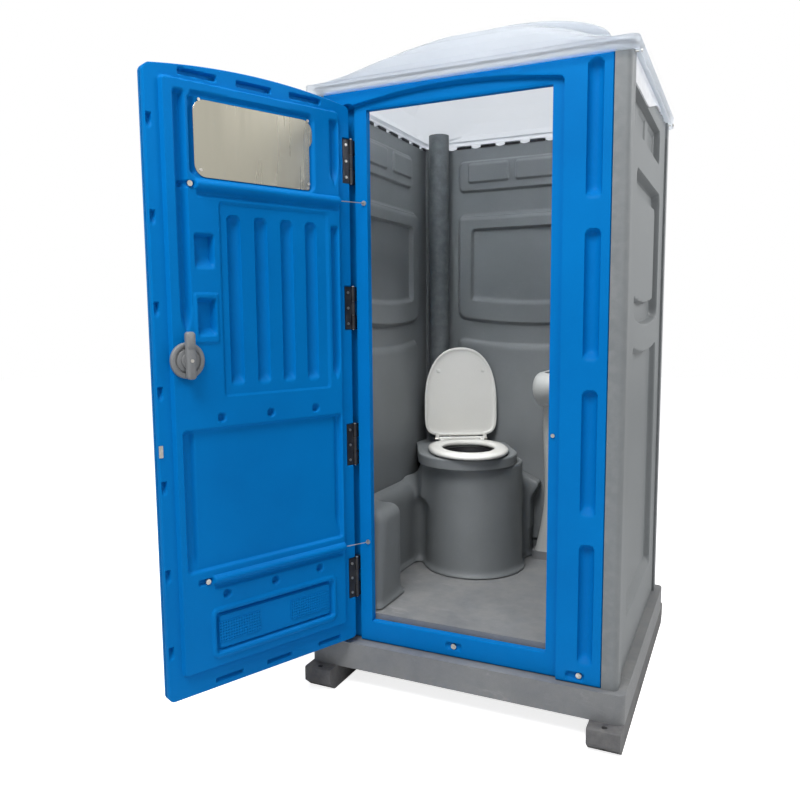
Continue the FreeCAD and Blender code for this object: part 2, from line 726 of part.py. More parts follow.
def latch():
    """Rose, turning latch, spindle, indicator disc and its housing."""
    u, z = "latch_u", "latch_z"
    rose = softened(rod(u, "raised_face", z, 52, 12, "y"), 4, lambda spot: spot.y > value("raised_face") + 11)
    subpart("latch_rose", hang(cut("rose", rose, rod(u, 0, z, 6.08, 60, "y"))))
    bar = pocket(u + " - 14", u + " + 14", 37, 54, z + " - 53", z + " + 82", 13.9, "y")
    hub = rod(u, 31.5, z, 22, 6, "y")
    bores = [rod(u, 30, z, 6.02, 21, "y"), rod(u, 30, z, 2.1, 40, "y")]
    subpart("latch_handle", hang(cut("latch_handle", fuse("latch_bar", bar, hub), *bores)))
    subpart("latch_spindle", hang(cut("latch_spindle", rod(u, -43.5, z, 6, 94, "y"), rod(u, 38, z, 2.1, 20, "y"))))
    screw = fuse("screw", rod(u, 39, z, 2, 16, "y"), rod(u, 54, z, 5, 2.5, "y"))
    subpart("latch_screw", hang(screw))
    disc = cut("disc", rod(u, -43.5, z, 35, 3, "y"), rod(u, -50, z, 6.02, 20, "y"))
    subpart("indicator_disc", hang(disc))
    shell = cut(
        "indicator_shell",
        rod(u, -48, z, 43, 12, "y"),
        rod(u, -44.5, z, 37, 20, "y"),
        box(u + " - 15", u + " + 15", -50, -44, z + " + 14", z + " + 30"),
    )
    subpart("indicator_housing", hang(shell))


def pull_handle():
    """The outer pull, on two standoffs."""
    bar = rod(625, -80, 1000, 10, 130)
    posts = [rod(625, -80, z, 8, 44, "y") for z in (1016, 1114)]
    return subpart("pull_handle", hang(fuse("pull", bar, *posts)))


def hinge(number, z):
    """One hinge: a leaf in the jamb channel and a leaf on the door flange."""
    back = "-panel_half_y + 32"
    plate = box("hinge_x - 48", "hinge_x - 6", back + " - 3", back, z - 71, z + 71)
    pieces = [plate]
    for low in (z - 71, z + 24):
        pieces.append(box("hinge_x - 7", "hinge_x + 3.5", back + " - 3", back, low, low + 47))
        pieces.append(box("hinge_x - 3.5", "hinge_x + 3.5", "hinge_y + 3", back, low, low + 47))
        pieces.append(rod("hinge_x", "hinge_y", low, 7, 47))
    bores = [rod("hinge_x", "hinge_y", z - 80, 3.05, 160)]
    bores += [rod("hinge_x - 34", back + " - 10", spot, 2.1, 20, "y") for spot in leaf_holes(z)]
    subpart("hinge_frame_leaf_%d" % number, cut("frame_leaf", fuse("frame_leaf_blank", *pieces), *bores))
    leaf = fuse("door_leaf_blank", box(9.5, 34, -2, 1, z - 71, z + 71), box(0, 12, -2, 1, z - 23, z + 23), rod(0, 0, z - 23, 7, 46))
    bores = [rod(0, 0, z - 80, 3.05, 160)] + [rod(22, -10, spot, 2.1, 20, "y") for spot in leaf_holes(z)]
    subpart("hinge_door_leaf_%d" % number, hang(cut("door_leaf", leaf, *bores)))


def hinges():
    for number, z in enumerate(HINGES, start=1):
        hinge(number, z)
    pins, jamb, leaf = [], [], []
    for z in HINGES:
        pins.append(fuse("pin", rod("hinge_x", "hinge_y", z - 73, 3, 146), rod("hinge_x", "hinge_y", z + 71, 5, 3)))
        for spot in leaf_holes(z):
            x, y = "hinge_x - 34", "-panel_half_y + 29"
            jamb.append(fuse("jamb_screw", rod(x, y, spot, 2, 12, "y"), rod(x, y + " - 2.5", spot, 4.5, 2.5, "y")))
            leaf.append(fuse("leaf_screw", rod(22, -12, spot, 2, 14, "y"), rod(22, 1, spot, 4.5, 2.5, "y")))
    subpart("hinge_pins", group("hinge_pins", pins))
    subpart("hinge_jamb_screws", group("hinge_jamb_screws", jamb))
    subpart("hinge_leaf_screws", hang(group("hinge_leaf_screws", leaf)))


# Tank and toilet


def waste_tank():
    """One hollow moulding: left console, rear block, pedestal and riser."""
    console = profile_body(
        "console", "XZ",
        [(-487, "floor_height", 0), (-320, "floor_height", 0), (-320, 617, 58), (-487, 624, 6)],
        length=595, start=-155,
    )
    slope = profile_body("slope", "YZ", [(-445, 330, 0), (-396, 630, 0), (-445, 630, 0)], length=240, start=-500)
    alcove = profile_body(
        "alcove", "YZ",
        [(-197, "floor_height - 1", 0), (160, "floor_height - 1", 0), (160, 640, 0), (-197, 640, 0)],
        length=160, start=-460,
    )
    rear = profile_body("rear_block", "XY", rear_outline(0), length="630 - floor_height", start="floor_height")
    rear = rounded(rear, 84, "x", lambda spot: spot.y < 200 and spot.z > 500)
    shelf = profile_body(
        "shelf", "XZ",
        [(-200, 400, 0), (4, 400, 0), (4, 526, 40), (40, 584, 4), (40, 600, 5), (-60, 642, 0), (-200, 642, 0)],
        length=62, start=-455,
    )
    pedestal = cone(
        "toilet_x", "toilet_y", "floor_height", "pedestal_bottom_radius", "pedestal_top_radius",
        "deck_bottom - floor_height",
    )
    riser = profile_body("riser", "XY", deck_outline(12, 16), length="deck_bottom - 560", start=560)
    open_console = cut("console_open", fuse("console_rear", console, rear, shelf), alcove, slope)
    room = [
        box(-481, -326, -388, -203, 276, 560),
        box(-481, -466, -204, 200, 276, 536),
        profile_body("rear_room", "XY", rear_outline(7), length=334, start=276),
        cone("toilet_x", "toilet_y", 276, "pedestal_bottom_radius - 6", "pedestal_top_radius - 6", 445),
        profile_body("riser_room", "XY", deck_outline(18, 22), length=140, start=590),
    ]
    return subpart("waste_tank", cut("waste_tank", fuse("tank_blank", open_console, pedestal, riser), *room))


def rear_outline(inset):
    """The rear block from the left wall, behind the pedestal, to its narrow right end."""
    return [
        (-487 + inset, 155 + inset * 5, 0),
        (-300 - inset, 155 + inset * 5, 0),
        (-60 - inset, 300 + inset, 0),
        (4 - inset, 393 + inset, 34 - inset),
        (4 - inset, 455 - inset, 0),
        (-487 + inset, 455 - inset, 46 - inset),
    ]


def deck_outline(inset, front):
    """The deck behind the pedestal: wall corner, then the two tangents to the round."""
    return [
        (-487 + inset, 290 + front, 0),
        ("toilet_x - 184 + %d" % inset, "toilet_y - 89 + %d" % front, 0),
        ("toilet_x + 180 - %d" % inset, "toilet_y + 96 + %d" % (front - inset), 0),
        (-124 - inset, 455 - inset, 0),
        (-487 + inset, 455 - inset, 46 - inset),
    ]


def seat_deck():
    """The plate that carries the seat, round in front and square at the walls."""
    plate = profile_body("deck_plate", "XY", deck_outline(0, 0), length="deck_thick", start="deck_bottom")
    front = rod("toilet_x", "toilet_y", "deck_bottom", "deck_radius", "deck_thick")
    hole = rod(-191, 148, "deck_bottom - 1", 118, "deck_thick + 2")
    blank = cut("deck_open", fuse("deck_blank", plate, front), hole)
    return subpart("seat_deck", softened(blank, 8, lambda spot: spot.z > 759.9 and spot.y < 60))


def drop_bowl():
    """The dark bowl under the seat, shut by its flap at the bottom."""
    outer = fuse("chute", cone(-191, 148, 640, 92, 117.8, 120), rod(-191, 148, "deck_bottom + deck_thick", 126, 2))
    inner = fuse("chute_room", cone(-191, 148, 646, 89.5, 114, 114), rod(-191, 148, 759, 114, 5))
    return subpart("drop_bowl", cut("drop_bowl", outer, inner))


def ring_outline(half, rear):
    front = "-(seat_back + 230)"
    return [
        (-half + 30, rear, 38),
        (-half, -150, 200),
        (-half, front, half - 2),
        (half, front, half - 2),
        (half, -150, 200),
        (half - 30, rear, 38),
    ]


def lid_outline(inset):
    """The lid is a little smaller than the ring, and squarer at its hinges."""
    half, front, rear = "lid_half_width - %s" % inset, "-(lid_length - %s)" % inset, "-(13 + %s)" % inset
    corner, sweep = "28 - %s" % inset, "lid_half_width - 2 - %s" % inset
    return [
        ("-(%s)" % half, rear, corner),
        ("-(%s)" % half, front, sweep),
        (half, front, sweep),
        (half, rear, corner),
    ]


def toilet_seat():
    """Seat ring, buffers, lid and the hinge block they share."""
    half = int(value("seat_half_width"))
    opening = [(-105, -355, 100), (105, -355, 100), (105, -85, 95), (-105, -85, 95)]
    ring = profile_body("ring", "XY", ring_outline(half, -28), [opening], 20, -16)
    lugs = []
    for x in (-96, 80):
        lugs += [rod(x, 0, 0, 9, 16, "x"), box(x, x + 16, -40, 0, -9, 4)]
    bores = [rod(-120, 0, 0, 4.05, 240, "x")]
    blank = cut("seat_ring", fuse("ring_blank", ring, *lugs), *bores)
    subpart("seat_ring", sit(blank, "seat_axis"))
    feet = [pocket(x - 10, x + 10, y - 15, y + 15, -21.8, -16, 5, "z") for x in (-137, 137) for y in (-110, -300)]
    subpart("seat_buffers", sit(group("seat_buffers", feet), "seat_axis"))
    lid = profile_body("lid_plate", "XY", lid_outline(0), [], 16, 7)
    under = profile_body("lid_room", "XY", lid_outline(7), [], 11, 6)
    lugs = []
    for x in (-114, 98):
        lugs += [rod(x, 0, 0, 9, 16, "x"), box(x, x + 16, -26, 9, 0, 20)]
    blank = cut("lid_open", fuse("lid_blank", cut("lid_shell", lid, under), *lugs), rod(-120, 0, 0, 4.05, 240, "x"))
    subpart("seat_lid", sit(blank, "seat_axis", "-(90 + seat_lean)"))
    base = pocket(-120, 120, -14, 24, -22, -17, 6, "z")
    bosses = []
    for x in (-78, 60):
        bosses += [rod(x, 0, 0, 9, 18, "x"), box(x, x + 18, -9, 9, -18, 0)]
    bores = [rod(-120, 0, 0, 4.02, 240, "x")]
    subpart("seat_hinge_block", sit(cut("hinge_block", fuse("block_blank", base, *bosses), *bores), "seat_axis"))
    pins = [rod(x, 0, 0, 4, 58, "x") for x in (-116, 58)]
    subpart("seat_hinge_pins", sit(group("seat_hinge_pins", pins), "seat_axis"))


def vent_pipe():
    """The vent stack from the tank up under the roof, with collar and wall clip."""
    x, y, foot = "pipe_x", "pipe_y", "deck_bottom + deck_thick"
    tube = cut("tube", rod(x, y, foot, "pipe_radius", "pipe_top - 760"), rod(x, y, foot + " - 1", "pipe_radius - 4", "pipe_top - 750"))
    subpart("vent_pipe", tube)
    collar = cut("collar", cone(x, y, foot, 58, 50, 14), rod(x, y, foot + " - 1", "pipe_radius + 0.1", 20))
    subpart("pipe_collar", collar)


# Wash basin


def basin_loft(rows, grow=0):
    """A smooth skin through rounded rectangles: height, half sizes, roundness, how far back."""
    x, y = value("basin_x"), value("basin_y")
    wires = []
    for z, a, b, share, back in rows:
        wire = rounded_rectangle(a + grow, b + grow, (min(a, b) + grow) * share, z)
        wire.translate(Vector(x, y + back, 0))
        wires.append(wire)
    return Part.makeLoft(wires, True, False, False, 3)


def basin():
    """A hand basin on a wide column against the rear wall, with a push tap."""
    rim, foot = value("basin_rim"), value("floor_height + 35")
    rows = [
        (rim - 150, 184, 64, 0.7, 84),
        (rim - 130, 197, 106, 0.7, 42),
        (rim - 90, 203, 136, 0.68, 10),
        (rim - 45, 201, 146, 0.65, 0),
        (rim - 14, 191, 140, 0.62, 6),
        (rim, 176, 130, 0.6, 16),
    ]
    room = [(rim - 120, 60, 52, 0.85, -14), (rim - 90, 130, 88, 0.8, -12), (rim - 50, 168, 106, 0.7, -10), (rim + 1, 156, 96, 0.6, -6)]
    bowl = doc.addObject("Part::Feature", "basin")
    bowl.Shape = basin_loft(rows).cut(basin_loft(room)).removeSplitter()
    subpart("basin", bowl)
    rows = [
        (foot, 224, 42, 0.6, 110),
        (foot + 50, 214, 43, 0.7, 109),
        (foot + 190, 189, 50, 0.8, 102),
        (foot + 400, 187, 54, 0.8, 96),
        (rim - 150, 184, 64, 0.7, 84),
    ]
    column = doc.addObject("Part::Feature", "basin_pedestal")
    column.Shape = basin_loft(rows).cut(basin_loft(rows, -8)).removeSplitter()
    subpart("basin_pedestal", column)
    x, y = "basin_x", "basin_y + 131"
    spout = fuse("spout", rod(x, y, rim, 14, 70), rod(x, "basin_y + 50", rim + 52, 9, 81, "y"), rod(x, "basin_y + 52", rim + 36, 7, 16))
    subpart("tap_body", cut("tap_body", spout, rod(x, y, rim + 44, 8.06, 40)))
    subpart("tap_button", fuse("tap_button", rod(x, y, rim + 52, 8, 26), rod(x, y, rim + 78, 13, 8)))


# Assembly


def build():
    base_pallet()
    skid("skid_left", -548, -446, "cabin_depth / 2 + 52")
    skid("skid_right", 446, 548, "cabin_depth / 2 + 52")
    skid("skid_centre", -50, 50, "cabin_depth / 2 - 160")
    skid_bolts()
    corner_post("post_front_left", -1, -1)
    corner_post("post_front_right", 1, -1)
    corner_post("post_rear_left", -1, 1)
    corner_post("post_rear_right", 1, 1)
    side = "panel_half_y - post_side - 1"
    moulded_wall("left_wall", side, "left", (-424, 270), (-311, -77, 157))
    moulded_wall("right_wall", side, "right", (-270, 424), (-157, 77, 311))
    moulded_wall("rear_wall", "panel_half_x - post_face - 1", "rear", (-352, 352), (-213, 0, 213))
    roof()
    roof_screws()
    rim_skirt("rim_skirt_left", -1)
    rim_skirt("rim_skirt_right", 1)
    front_frame()
    frame_bolts()
    strike_stud()
    cord_anchors()
    door_inner_panel()
    door_outer_panel()
    mirror()
    door_closer()
    keeper_plate()
    latch()
    pull_handle()
    hinges()
    waste_tank()
    seat_deck()
    drop_bowl()
    toilet_seat()
    vent_pipe()
    basin()


def write():
    """Checks every object and writes one STEP file for each sub-part."""
    doc.recompute()
    bad = [o.Label for o in doc.Objects if "Invalid" in o.State or "Error" in o.State]
    for piece in subparts:
        if piece.Shape.isNull() or not piece.Shape.isValid() or not piece.Shape.Solids:
            bad.append(piece.Label)
    if bad:
        raise RuntimeError("not built: " + ", ".join(sorted(set(bad))))
    os.makedirs("parts", exist_ok=True)
    for piece in subparts:
        piece.Shape.exportStep(os.path.join("parts", piece.Label + ".step"))
    print(len(subparts), "sub-parts written")


build()
write()
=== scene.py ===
import json
import math

import bmesh
import bpy
import numpy as np
from mathutils import Matrix, Vector


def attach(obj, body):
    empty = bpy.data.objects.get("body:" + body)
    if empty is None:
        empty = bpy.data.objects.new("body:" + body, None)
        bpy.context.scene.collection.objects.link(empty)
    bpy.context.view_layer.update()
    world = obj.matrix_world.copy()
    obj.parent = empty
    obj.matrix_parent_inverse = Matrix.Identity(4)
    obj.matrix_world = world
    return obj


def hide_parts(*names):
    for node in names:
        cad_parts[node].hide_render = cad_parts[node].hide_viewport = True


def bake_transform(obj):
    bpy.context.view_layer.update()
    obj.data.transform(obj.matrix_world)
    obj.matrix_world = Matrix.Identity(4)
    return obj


# A portable toilet cabin in moulded plastic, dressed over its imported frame. The
# frame is in metres. Skins and plates are drawn in millimetres, as in a
# moulder's drawing, and turned to metres when they are put in place.

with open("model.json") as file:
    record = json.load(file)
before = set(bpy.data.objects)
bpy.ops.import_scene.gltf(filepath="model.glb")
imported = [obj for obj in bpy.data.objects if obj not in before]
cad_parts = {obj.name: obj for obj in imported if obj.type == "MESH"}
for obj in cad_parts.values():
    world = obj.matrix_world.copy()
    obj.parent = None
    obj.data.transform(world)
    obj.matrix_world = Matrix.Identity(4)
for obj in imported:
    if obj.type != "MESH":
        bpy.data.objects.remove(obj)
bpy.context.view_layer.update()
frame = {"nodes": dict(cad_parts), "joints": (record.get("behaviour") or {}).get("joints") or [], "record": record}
NODES = frame["nodes"]
JOINTS = {joint["name"]: joint for joint in frame["joints"]}
BODY_OF = {node: body for body, nodes in frame["record"]["behaviour"]["bodies"].items() for node in nodes}
SLOT_OF = {row["node"]: row["material_slot"] for row in frame["record"]["subparts"]}
MM = 0.001


def added(name, data):
    """Adds a new object to the scene."""
    thing = bpy.data.objects.new(name, data)
    bpy.context.scene.collection.objects.link(thing)
    return thing


# Camera


def photo_camera():
    """The camera at the photograph's own viewing point."""
    yaw, pitch, roll, focal_pixels, photo_pixels = -0.4377, -0.1104, -0.008, 748.922, 801
    ahead = Vector((math.sin(yaw) * math.cos(pitch), math.cos(yaw) * math.cos(pitch), math.sin(pitch)))
    level = Vector((math.cos(yaw), -math.sin(yaw), 0))
    above = level.cross(ahead)
    right = math.cos(roll) * level + math.sin(roll) * above
    up = -math.sin(roll) * level + math.cos(roll) * above
    camera = added("photo_camera", bpy.data.cameras.new("photo_camera"))
    turned = Matrix((right, up, -ahead)).transposed().to_4x4()
    camera.matrix_world = Matrix.Translation((0.8514, -2.7426, 1.3163)) @ turned
    camera.data.sensor_width = 36
    camera.data.lens = focal_pixels * camera.data.sensor_width / photo_pixels
    camera.data.clip_end = 100
    bpy.context.scene.camera = camera


photo_camera()


# Finishes: shared groups first, then one material for each real finish


def new_group(name, inputs, outputs):
    """A shader group with its inputs' usual values. All that it puts out are numbers."""
    group = bpy.data.node_groups.new(name, "ShaderNodeTree")
    for label, usual in inputs.items():
        kind = "NodeSocketVector" if isinstance(usual, tuple) else "NodeSocketFloat"
        group.interface.new_socket(label, in_out="INPUT", socket_type=kind).default_value = usual
    for label in outputs:
        group.interface.new_socket(label, in_out="OUTPUT", socket_type="NodeSocketFloat")
    return group, group.nodes.new("NodeGroupInput"), group.nodes.new("NodeGroupOutput")


def feed(tree, socket, item):
    """Gives a socket a link or a plain value."""
    if isinstance(item, bpy.types.NodeSocket):
        tree.links.new(item, socket)
    else:
        socket.default_value = item


def settle(node, values):
    """Sets a node's plain values by their labels."""
    for label, item in values.items():
        node.inputs[label].default_value = item


def math_node(tree, operation, a, b, clamp=False):
    node = tree.nodes.new("ShaderNodeMath")
    node.operation = operation
    node.use_clamp = clamp
    feed(tree, node.inputs[0], a)
    feed(tree, node.inputs[1], b)
    return node.outputs[0]


def product(tree, first, second, third=None):
    """Two values multiplied, or three kept between 0 and 1."""
    both = math_node(tree, "MULTIPLY", first, second)
    return both if third is None else math_node(tree, "MULTIPLY", both, third, True)


def own_place(tree):
    return tree.nodes.new("ShaderNodeTexCoord").outputs["Object"]


def stretched_place(tree, factors):
    """The object's own coordinates, stretched along each axis."""
    node = tree.nodes.new("ShaderNodeVectorMath")
    node.operation = "MULTIPLY"
    feed(tree, node.inputs[0], own_place(tree))
    feed(tree, node.inputs[1], factors)
    return node.outputs[0]


def noise_node(tree, where, scale, detail=3.0, roughness=0.55, distortion=0.0):
    node = tree.nodes.new("ShaderNodeTexNoise")
    labels = ("Vector", "Scale", "Detail", "Roughness", "Distortion")
    for label, item in zip(labels, (where, scale, detail, roughness, distortion)):
        feed(tree, node.inputs[label], item)
    return node.outputs["Fac"]


def ramp_node(tree, fac, low, high, ends=(0.0, 1.0)):
    """Runs from one end value to the other while fac goes from low to high."""
    node = tree.nodes.new("ShaderNodeMapRange")
    labels = ("Value", "From Min", "From Max", "To Min", "To Max")
    for label, item in zip(labels, (fac, low, high, *ends)):
        feed(tree, node.inputs[label], item)
    return node.outputs["Result"]


def mask_group(group, inside, out, first, second):
    """Ends a group that puts out one mask: two shares times the amount that is asked for."""
    mask = product(group, first, second, inside.outputs["Amount"])
    group.links.new(mask, out.inputs["Mask"])
    return group


def mould_grain():
    """Fine pimpled texture of rotomoulded plastic, with soft flow marks in its tone."""
    group, inside, out = new_group("mould_grain", {"Grain": 420.0, "Waviness": 0.35}, ("Height", "Tone"))
    where = own_place(group)
    fine = noise_node(group, where, inside.outputs["Grain"], 2.0, 0.6)
    broad = noise_node(group, where, 7.0, 2.0, 0.5)
    cloudy = noise_node(group, where, 3.2, 4.0)
    height = math_node(group, "ADD", fine, product(group, broad, inside.outputs["Waviness"]))
    tone = math_node(group, "ADD", product(group, cloudy, 0.65), product(group, fine, 0.35))
    group.links.new(height, out.inputs["Height"])
    group.links.new(tone, out.inputs["Tone"])
    return group


def handling_scuffs():
    """Thin streaks and rubbed patches where the cabin is handled and stepped on."""
    usual = {"Amount": 0.5, "Stretch": (1.0, 1.0, 1.0)}
    group, inside, out = new_group("handling_scuffs", usual, ["Mask"])
    streaks = noise_node(group, stretched_place(group, inside.outputs["Stretch"]), 26.0, 6.0, 0.7, 1.2)
    patches = noise_node(group, own_place(group), 5.0, 3.0)
    streak, patch = ramp_node(group, streaks, 0.56, 0.72), ramp_node(group, patches, 0.45, 0.7)
    return mask_group(group, inside, out, streak, patch)


def settled_dust():
    """Dust that lies on what faces up and in the lower corners."""
    group, inside, out = new_group("settled_dust", {"Amount": 0.4, "Top": 0.3}, ["Mask"])
    geometry = group.nodes.new("ShaderNodeNewGeometry")
    levels = []
    for label in ("Normal", "Position"):
        split = group.nodes.new("ShaderNodeSeparateXYZ")
        group.links.new(geometry.outputs[label], split.inputs[0])
        levels.append(split.outputs["Z"])
    up = ramp_node(group, levels[0], 0.2, 1.0)
    low = ramp_node(group, levels[1], 0.0, inside.outputs["Top"], (1.0, 0.0))
    cloud = ramp_node(group, noise_node(group, own_place(group), 11.0, 5.0, 0.65), 0.35, 0.75)
    return mask_group(group, inside, out, math_node(group, "MAXIMUM", up, low), cloud)


def rubbed_edges():
    """Edges that handling has polished lighter."""
    group, inside, out = new_group("rubbed_edges", {"Amount": 0.5}, ["Mask"])
    edge = ramp_node(group, group.nodes.new("ShaderNodeNewGeometry").outputs["Pointiness"], 0.52, 0.62)
    broken = ramp_node(group, noise_node(group, own_place(group), 34.0, 4.0), 0.4, 0.65)
    return mask_group(group, inside, out, edge, broken)


GRAIN = mould_grain()
SCUFFS = handling_scuffs()
DUST = settled_dust()
RUBBED = rubbed_edges()
FINISH = {}


def put(tree, group, **values):
    node = tree.nodes.new("ShaderNodeGroup")
    node.node_tree = group
    settle(node, values)
    return node


def blend_colour(tree, fac, a, b):
    node = tree.nodes.new("ShaderNodeMix")
    node.data_type = "RGBA"
    tree.links.new(fac, node.inputs["Factor"])
    for label, item in (("A", a), ("B", b)):
        feed(tree, node.inputs[label], (*item, 1) if isinstance(item, tuple) else item)
    return node.outputs["Result"]


def linear(*srgb):
    """A colour as read on screen, 0 to 255, in the shader's own terms."""
    return tuple((v / 255 / 12.92) if v <= 10 else ((v / 255 + 0.055) / 1.055) ** 2.4 for v in srgb)


def new_finish(name):
    """A new finish with its shader tree and its main shader."""
    material = bpy.data.materials.new(name)
    material.use_nodes = True
    FINISH[name] = material
    return material.node_tree, material.node_tree.nodes["Principled BSDF"]


def stand_out(tree, shader, height, strength, distance):
    """Makes a height show as relief."""
    bump = tree.nodes.new("ShaderNodeBump")
    settle(bump, {"Strength": strength, "Distance": distance})
    tree.links.new(height, bump.inputs["Height"])
    tree.links.new(bump.outputs["Normal"], shader.inputs["Normal"])


def moulded_plastic(
    name, colour, deep, roughness, grain=420.0, depth=0.35, worn=None, rubbed=0.3, scuffs=0.3, dust=0.2,
    dust_colour=(0.35, 0.34, 0.31), stretch=(1, 1, 1), gloss=0.4,
):
    """Moulded polyethylene: tone from the grain, rubbed edges, scuffs and dust. Colours as on screen."""
    tree, shader = new_finish(name)
    colour, deep = linear(*colour), linear(*deep)
    worn = linear(*worn) if worn else tuple(min(1.0, v * 1.6 + 0.05) for v in colour)
    texture = put(tree, GRAIN, Grain=grain)
    edges = put(tree, RUBBED, Amount=rubbed)
    streaks = put(tree, SCUFFS, Amount=scuffs, Stretch=stretch)
    film = put(tree, DUST, Amount=dust)
    tone = blend_colour(tree, ramp_node(tree, texture.outputs["Tone"], 0.35, 0.65), deep, colour)
    for mask, over in ((edges, worn), (streaks, worn), (film, dust_colour)):
        tone = blend_colour(tree, mask.outputs["Mask"], tone, over)
    tree.links.new(tone, shader.inputs["Base Color"])
    rough = math_node(tree, "ADD", roughness - 0.06, product(tree, texture.outputs["Tone"], 0.14))
    rough = math_node(tree, "ADD", rough, product(tree, film.outputs["Mask"], 0.4), True)
    tree.links.new(rough, shader.inputs["Roughness"])
    settle(shader, {"Specular IOR Level": gloss})
    stand_out(tree, shader, texture.outputs["Height"], depth, 0.001)


def plain_metal(name, colour, dull, roughness, spots=60.0, stretch=(1, 1, 1), waves=0.1):
    """Plated or rolled metal with a cloudy, slightly uneven surface."""
    tree, shader = new_finish(name)
    noise = noise_node(tree, stretched_place(tree, stretch), spots, 5.0, 0.6)
    cloud = ramp_node(tree, noise, 0.36, 0.68)
    tree.links.new(blend_colour(tree, cloud, colour, dull), shader.inputs["Base Color"])
    rough = math_node(tree, "ADD", roughness, product(tree, cloud, 0.12))
    tree.links.new(rough, shader.inputs["Roughness"])
    settle(shader, {"Metallic": 1.0})
    stand_out(tree, shader, cloud, waves, 0.0005)


moulded_plastic(
    "door_blue", (0, 116, 190), (0, 108, 180), 0.5, depth=0.2, worn=(0, 135, 212), rubbed=0.2, scuffs=0.06,
    dust=0.02, gloss=0.05,
)
moulded_plastic(
    "wall_grey", (122, 126, 128), (112, 116, 118), 0.5, worn=(160, 160, 160), dust=0.1, scuffs=0.15
)
moulded_plastic(
    "pallet_grey", (122, 124, 126), (108, 110, 113), 0.52, worn=(165, 165, 165), dust=0.35, scuffs=0.6,
    stretch=(0.35, 1.0, 1.0),
)
moulded_plastic("skid_grey", (84, 84, 88), (66, 66, 70), 0.6, worn=(130, 130, 130), dust=0.45, scuffs=0.6)
moulded_plastic("skirt_white", (222, 224, 228), (212, 214, 219), 0.4, dust=0.1)
moulded_plastic(
    "seat_white", (226, 225, 220), (218, 217, 211), 0.22, depth=0.06, rubbed=0.1, scuffs=0.05, dust=0.05
)
moulded_plastic("basin_grey", (188, 190, 188), (176, 178, 176), 0.35, depth=0.15, dust=0.1)
moulded_plastic("pipe_grey", (88, 93, 95), (84, 89, 91), 0.5, depth=0.15, scuffs=0.05)
moulded_plastic("black_plastic", (30, 30, 33), (22, 22, 25), 0.42, depth=0.3, scuffs=0.2, dust=0.08)
moulded_plastic("latch_grey", (128, 130, 132), (116, 118, 120), 0.45, depth=0.2)
moulded_plastic("indicator_green", (40, 150, 80), (35, 140, 74), 0.4, depth=0.1)
moulded_plastic("cord_black", (150, 150, 150), (110, 110, 112), 0.5, grain=900.0)
plain_metal("zinc_steel", (0.62, 0.60, 0.56), (0.42, 0.40, 0.36), 0.28)
plain_metal("tap_chrome", (0.82, 0.82, 0.84), (0.72, 0.72, 0.74), 0.06, 20.0)
# Painted reflection: the mirror's colour is the steel's own tint dimmed to the darker surroundings that it
# reflects, and its faint vertical streaks of colour stand in for reflected waves.
plain_metal(
    "mirror_steel", linear(168, 165, 151), linear(163, 159, 145), 0.2, 22.0, stretch=(1, 1, 0.06), waves=0.12
)
moulded_plastic(
    "roof_white", (234, 238, 243), (227, 232, 238), 0.5, depth=0.1, rubbed=0.05, scuffs=0.1, dust=0.08,
    dust_colour=(0.6, 0.6, 0.58), gloss=0.3,
)
# The roof's milky plastic lets the daylight through.
roof_shader = FINISH["roof_white"].node_tree.nodes["Principled BSDF"]
settle(roof_shader, {"Transmission Weight": 0.86, "IOR": 1.08})


# Putting pieces in the scene


def link(name, mesh, node=None, body=None, slot=None):
    """Puts a finished mesh in the scene, on its body, with its finish."""
    piece = added(name, mesh)
    slot = slot or SLOT_OF[node]
    mesh.materials.clear()
    mesh.materials.append(FINISH[slot])
    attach(piece, body or BODY_OF[node])
    if node:
        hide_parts(node)
    return piece


def shaded(mesh, sharp):
    """Smooth shading, with the corners kept where they are sharper than an angle in degrees."""
    mesh.shade_smooth()
    mesh.set_sharp_from_angle(angle=math.radians(sharp))
    return mesh


def drawn_mesh(name, points, faces):
    mesh = bpy.data.meshes.new(name)
    mesh.from_pydata([tuple(p) for p in points], [], [tuple(f) for f in faces])
    return mesh


def between_loops(here, there, count):
    """The faces between two closed loops of points, each loop given by its first number."""
    return [(here + k, here + (k + 1) % count, there + (k + 1) % count, there + k) for k in range(count)]


def reworked(mesh, work):
    """Does one piece of work on an opened mesh and closes it again."""
    solid = bmesh.new()
    solid.from_mesh(mesh)
    work(solid)
    solid.to_mesh(mesh)
    solid.free()
    return mesh


def facing_out(mesh):
    return reworked(mesh, lambda solid: bmesh.ops.recalc_face_normals(solid, faces=solid.faces))


def rounded_edges(node, width):
    """A node's own shape with each sharp edge rounded over by width."""
    solid = bmesh.new()
    solid.from_mesh(NODES[node].data)
    bmesh.ops.remove_doubles(solid, verts=solid.verts, dist=2e-5)
    bmesh.ops.dissolve_limit(solid, angle_limit=math.radians(0.6), verts=solid.verts, edges=solid.edges)
    mesh = bpy.data.meshes.new(node)
    solid.to_mesh(mesh)
    weights = mesh.attributes.new("bevel_weight_edge", "FLOAT", "EDGE")
    solid.edges.ensure_lookup_table()
    for edge in solid.edges:
        sharp = edge.is_manifold and edge.calc_face_angle() > math.radians(32)
        weights.data[edge.index].value = 1.0 if sharp else 0.0
    solid.free()
    piece = link(node + "_moulding", shaded(mesh, 38), node=node)
    bevel = piece.modifiers.new("rounded", "BEVEL")
    bevel.width = width
    bevel.segments = 2
    bevel.limit_method = "WEIGHT"
    bevel.use_clamp_overlap = True
    bevel.harden_normals = True


# Skins: moulded sheets drawn as heights over a flat outline


def ease(share):
    """A smooth step from 0 to 1."""
    share = np.clip(share, 0.0, 1.0)
    return share * share * (3 - 2 * share)


def inside_of(a, z, left, right, low, high, radius):
    """How far each point lies inside a round-cornered outline, less than nothing outside it."""
    past_a = np.abs(a - (left + right) / 2) - (right - left) / 2 + radius
    past_z = np.abs(z - (low + high) / 2) - (high - low) / 2 + radius
    corner = np.hypot(np.maximum(past_a, 0), np.maximum(past_z, 0))
    return radius - corner - np.minimum(np.maximum(past_a, past_z), 0)


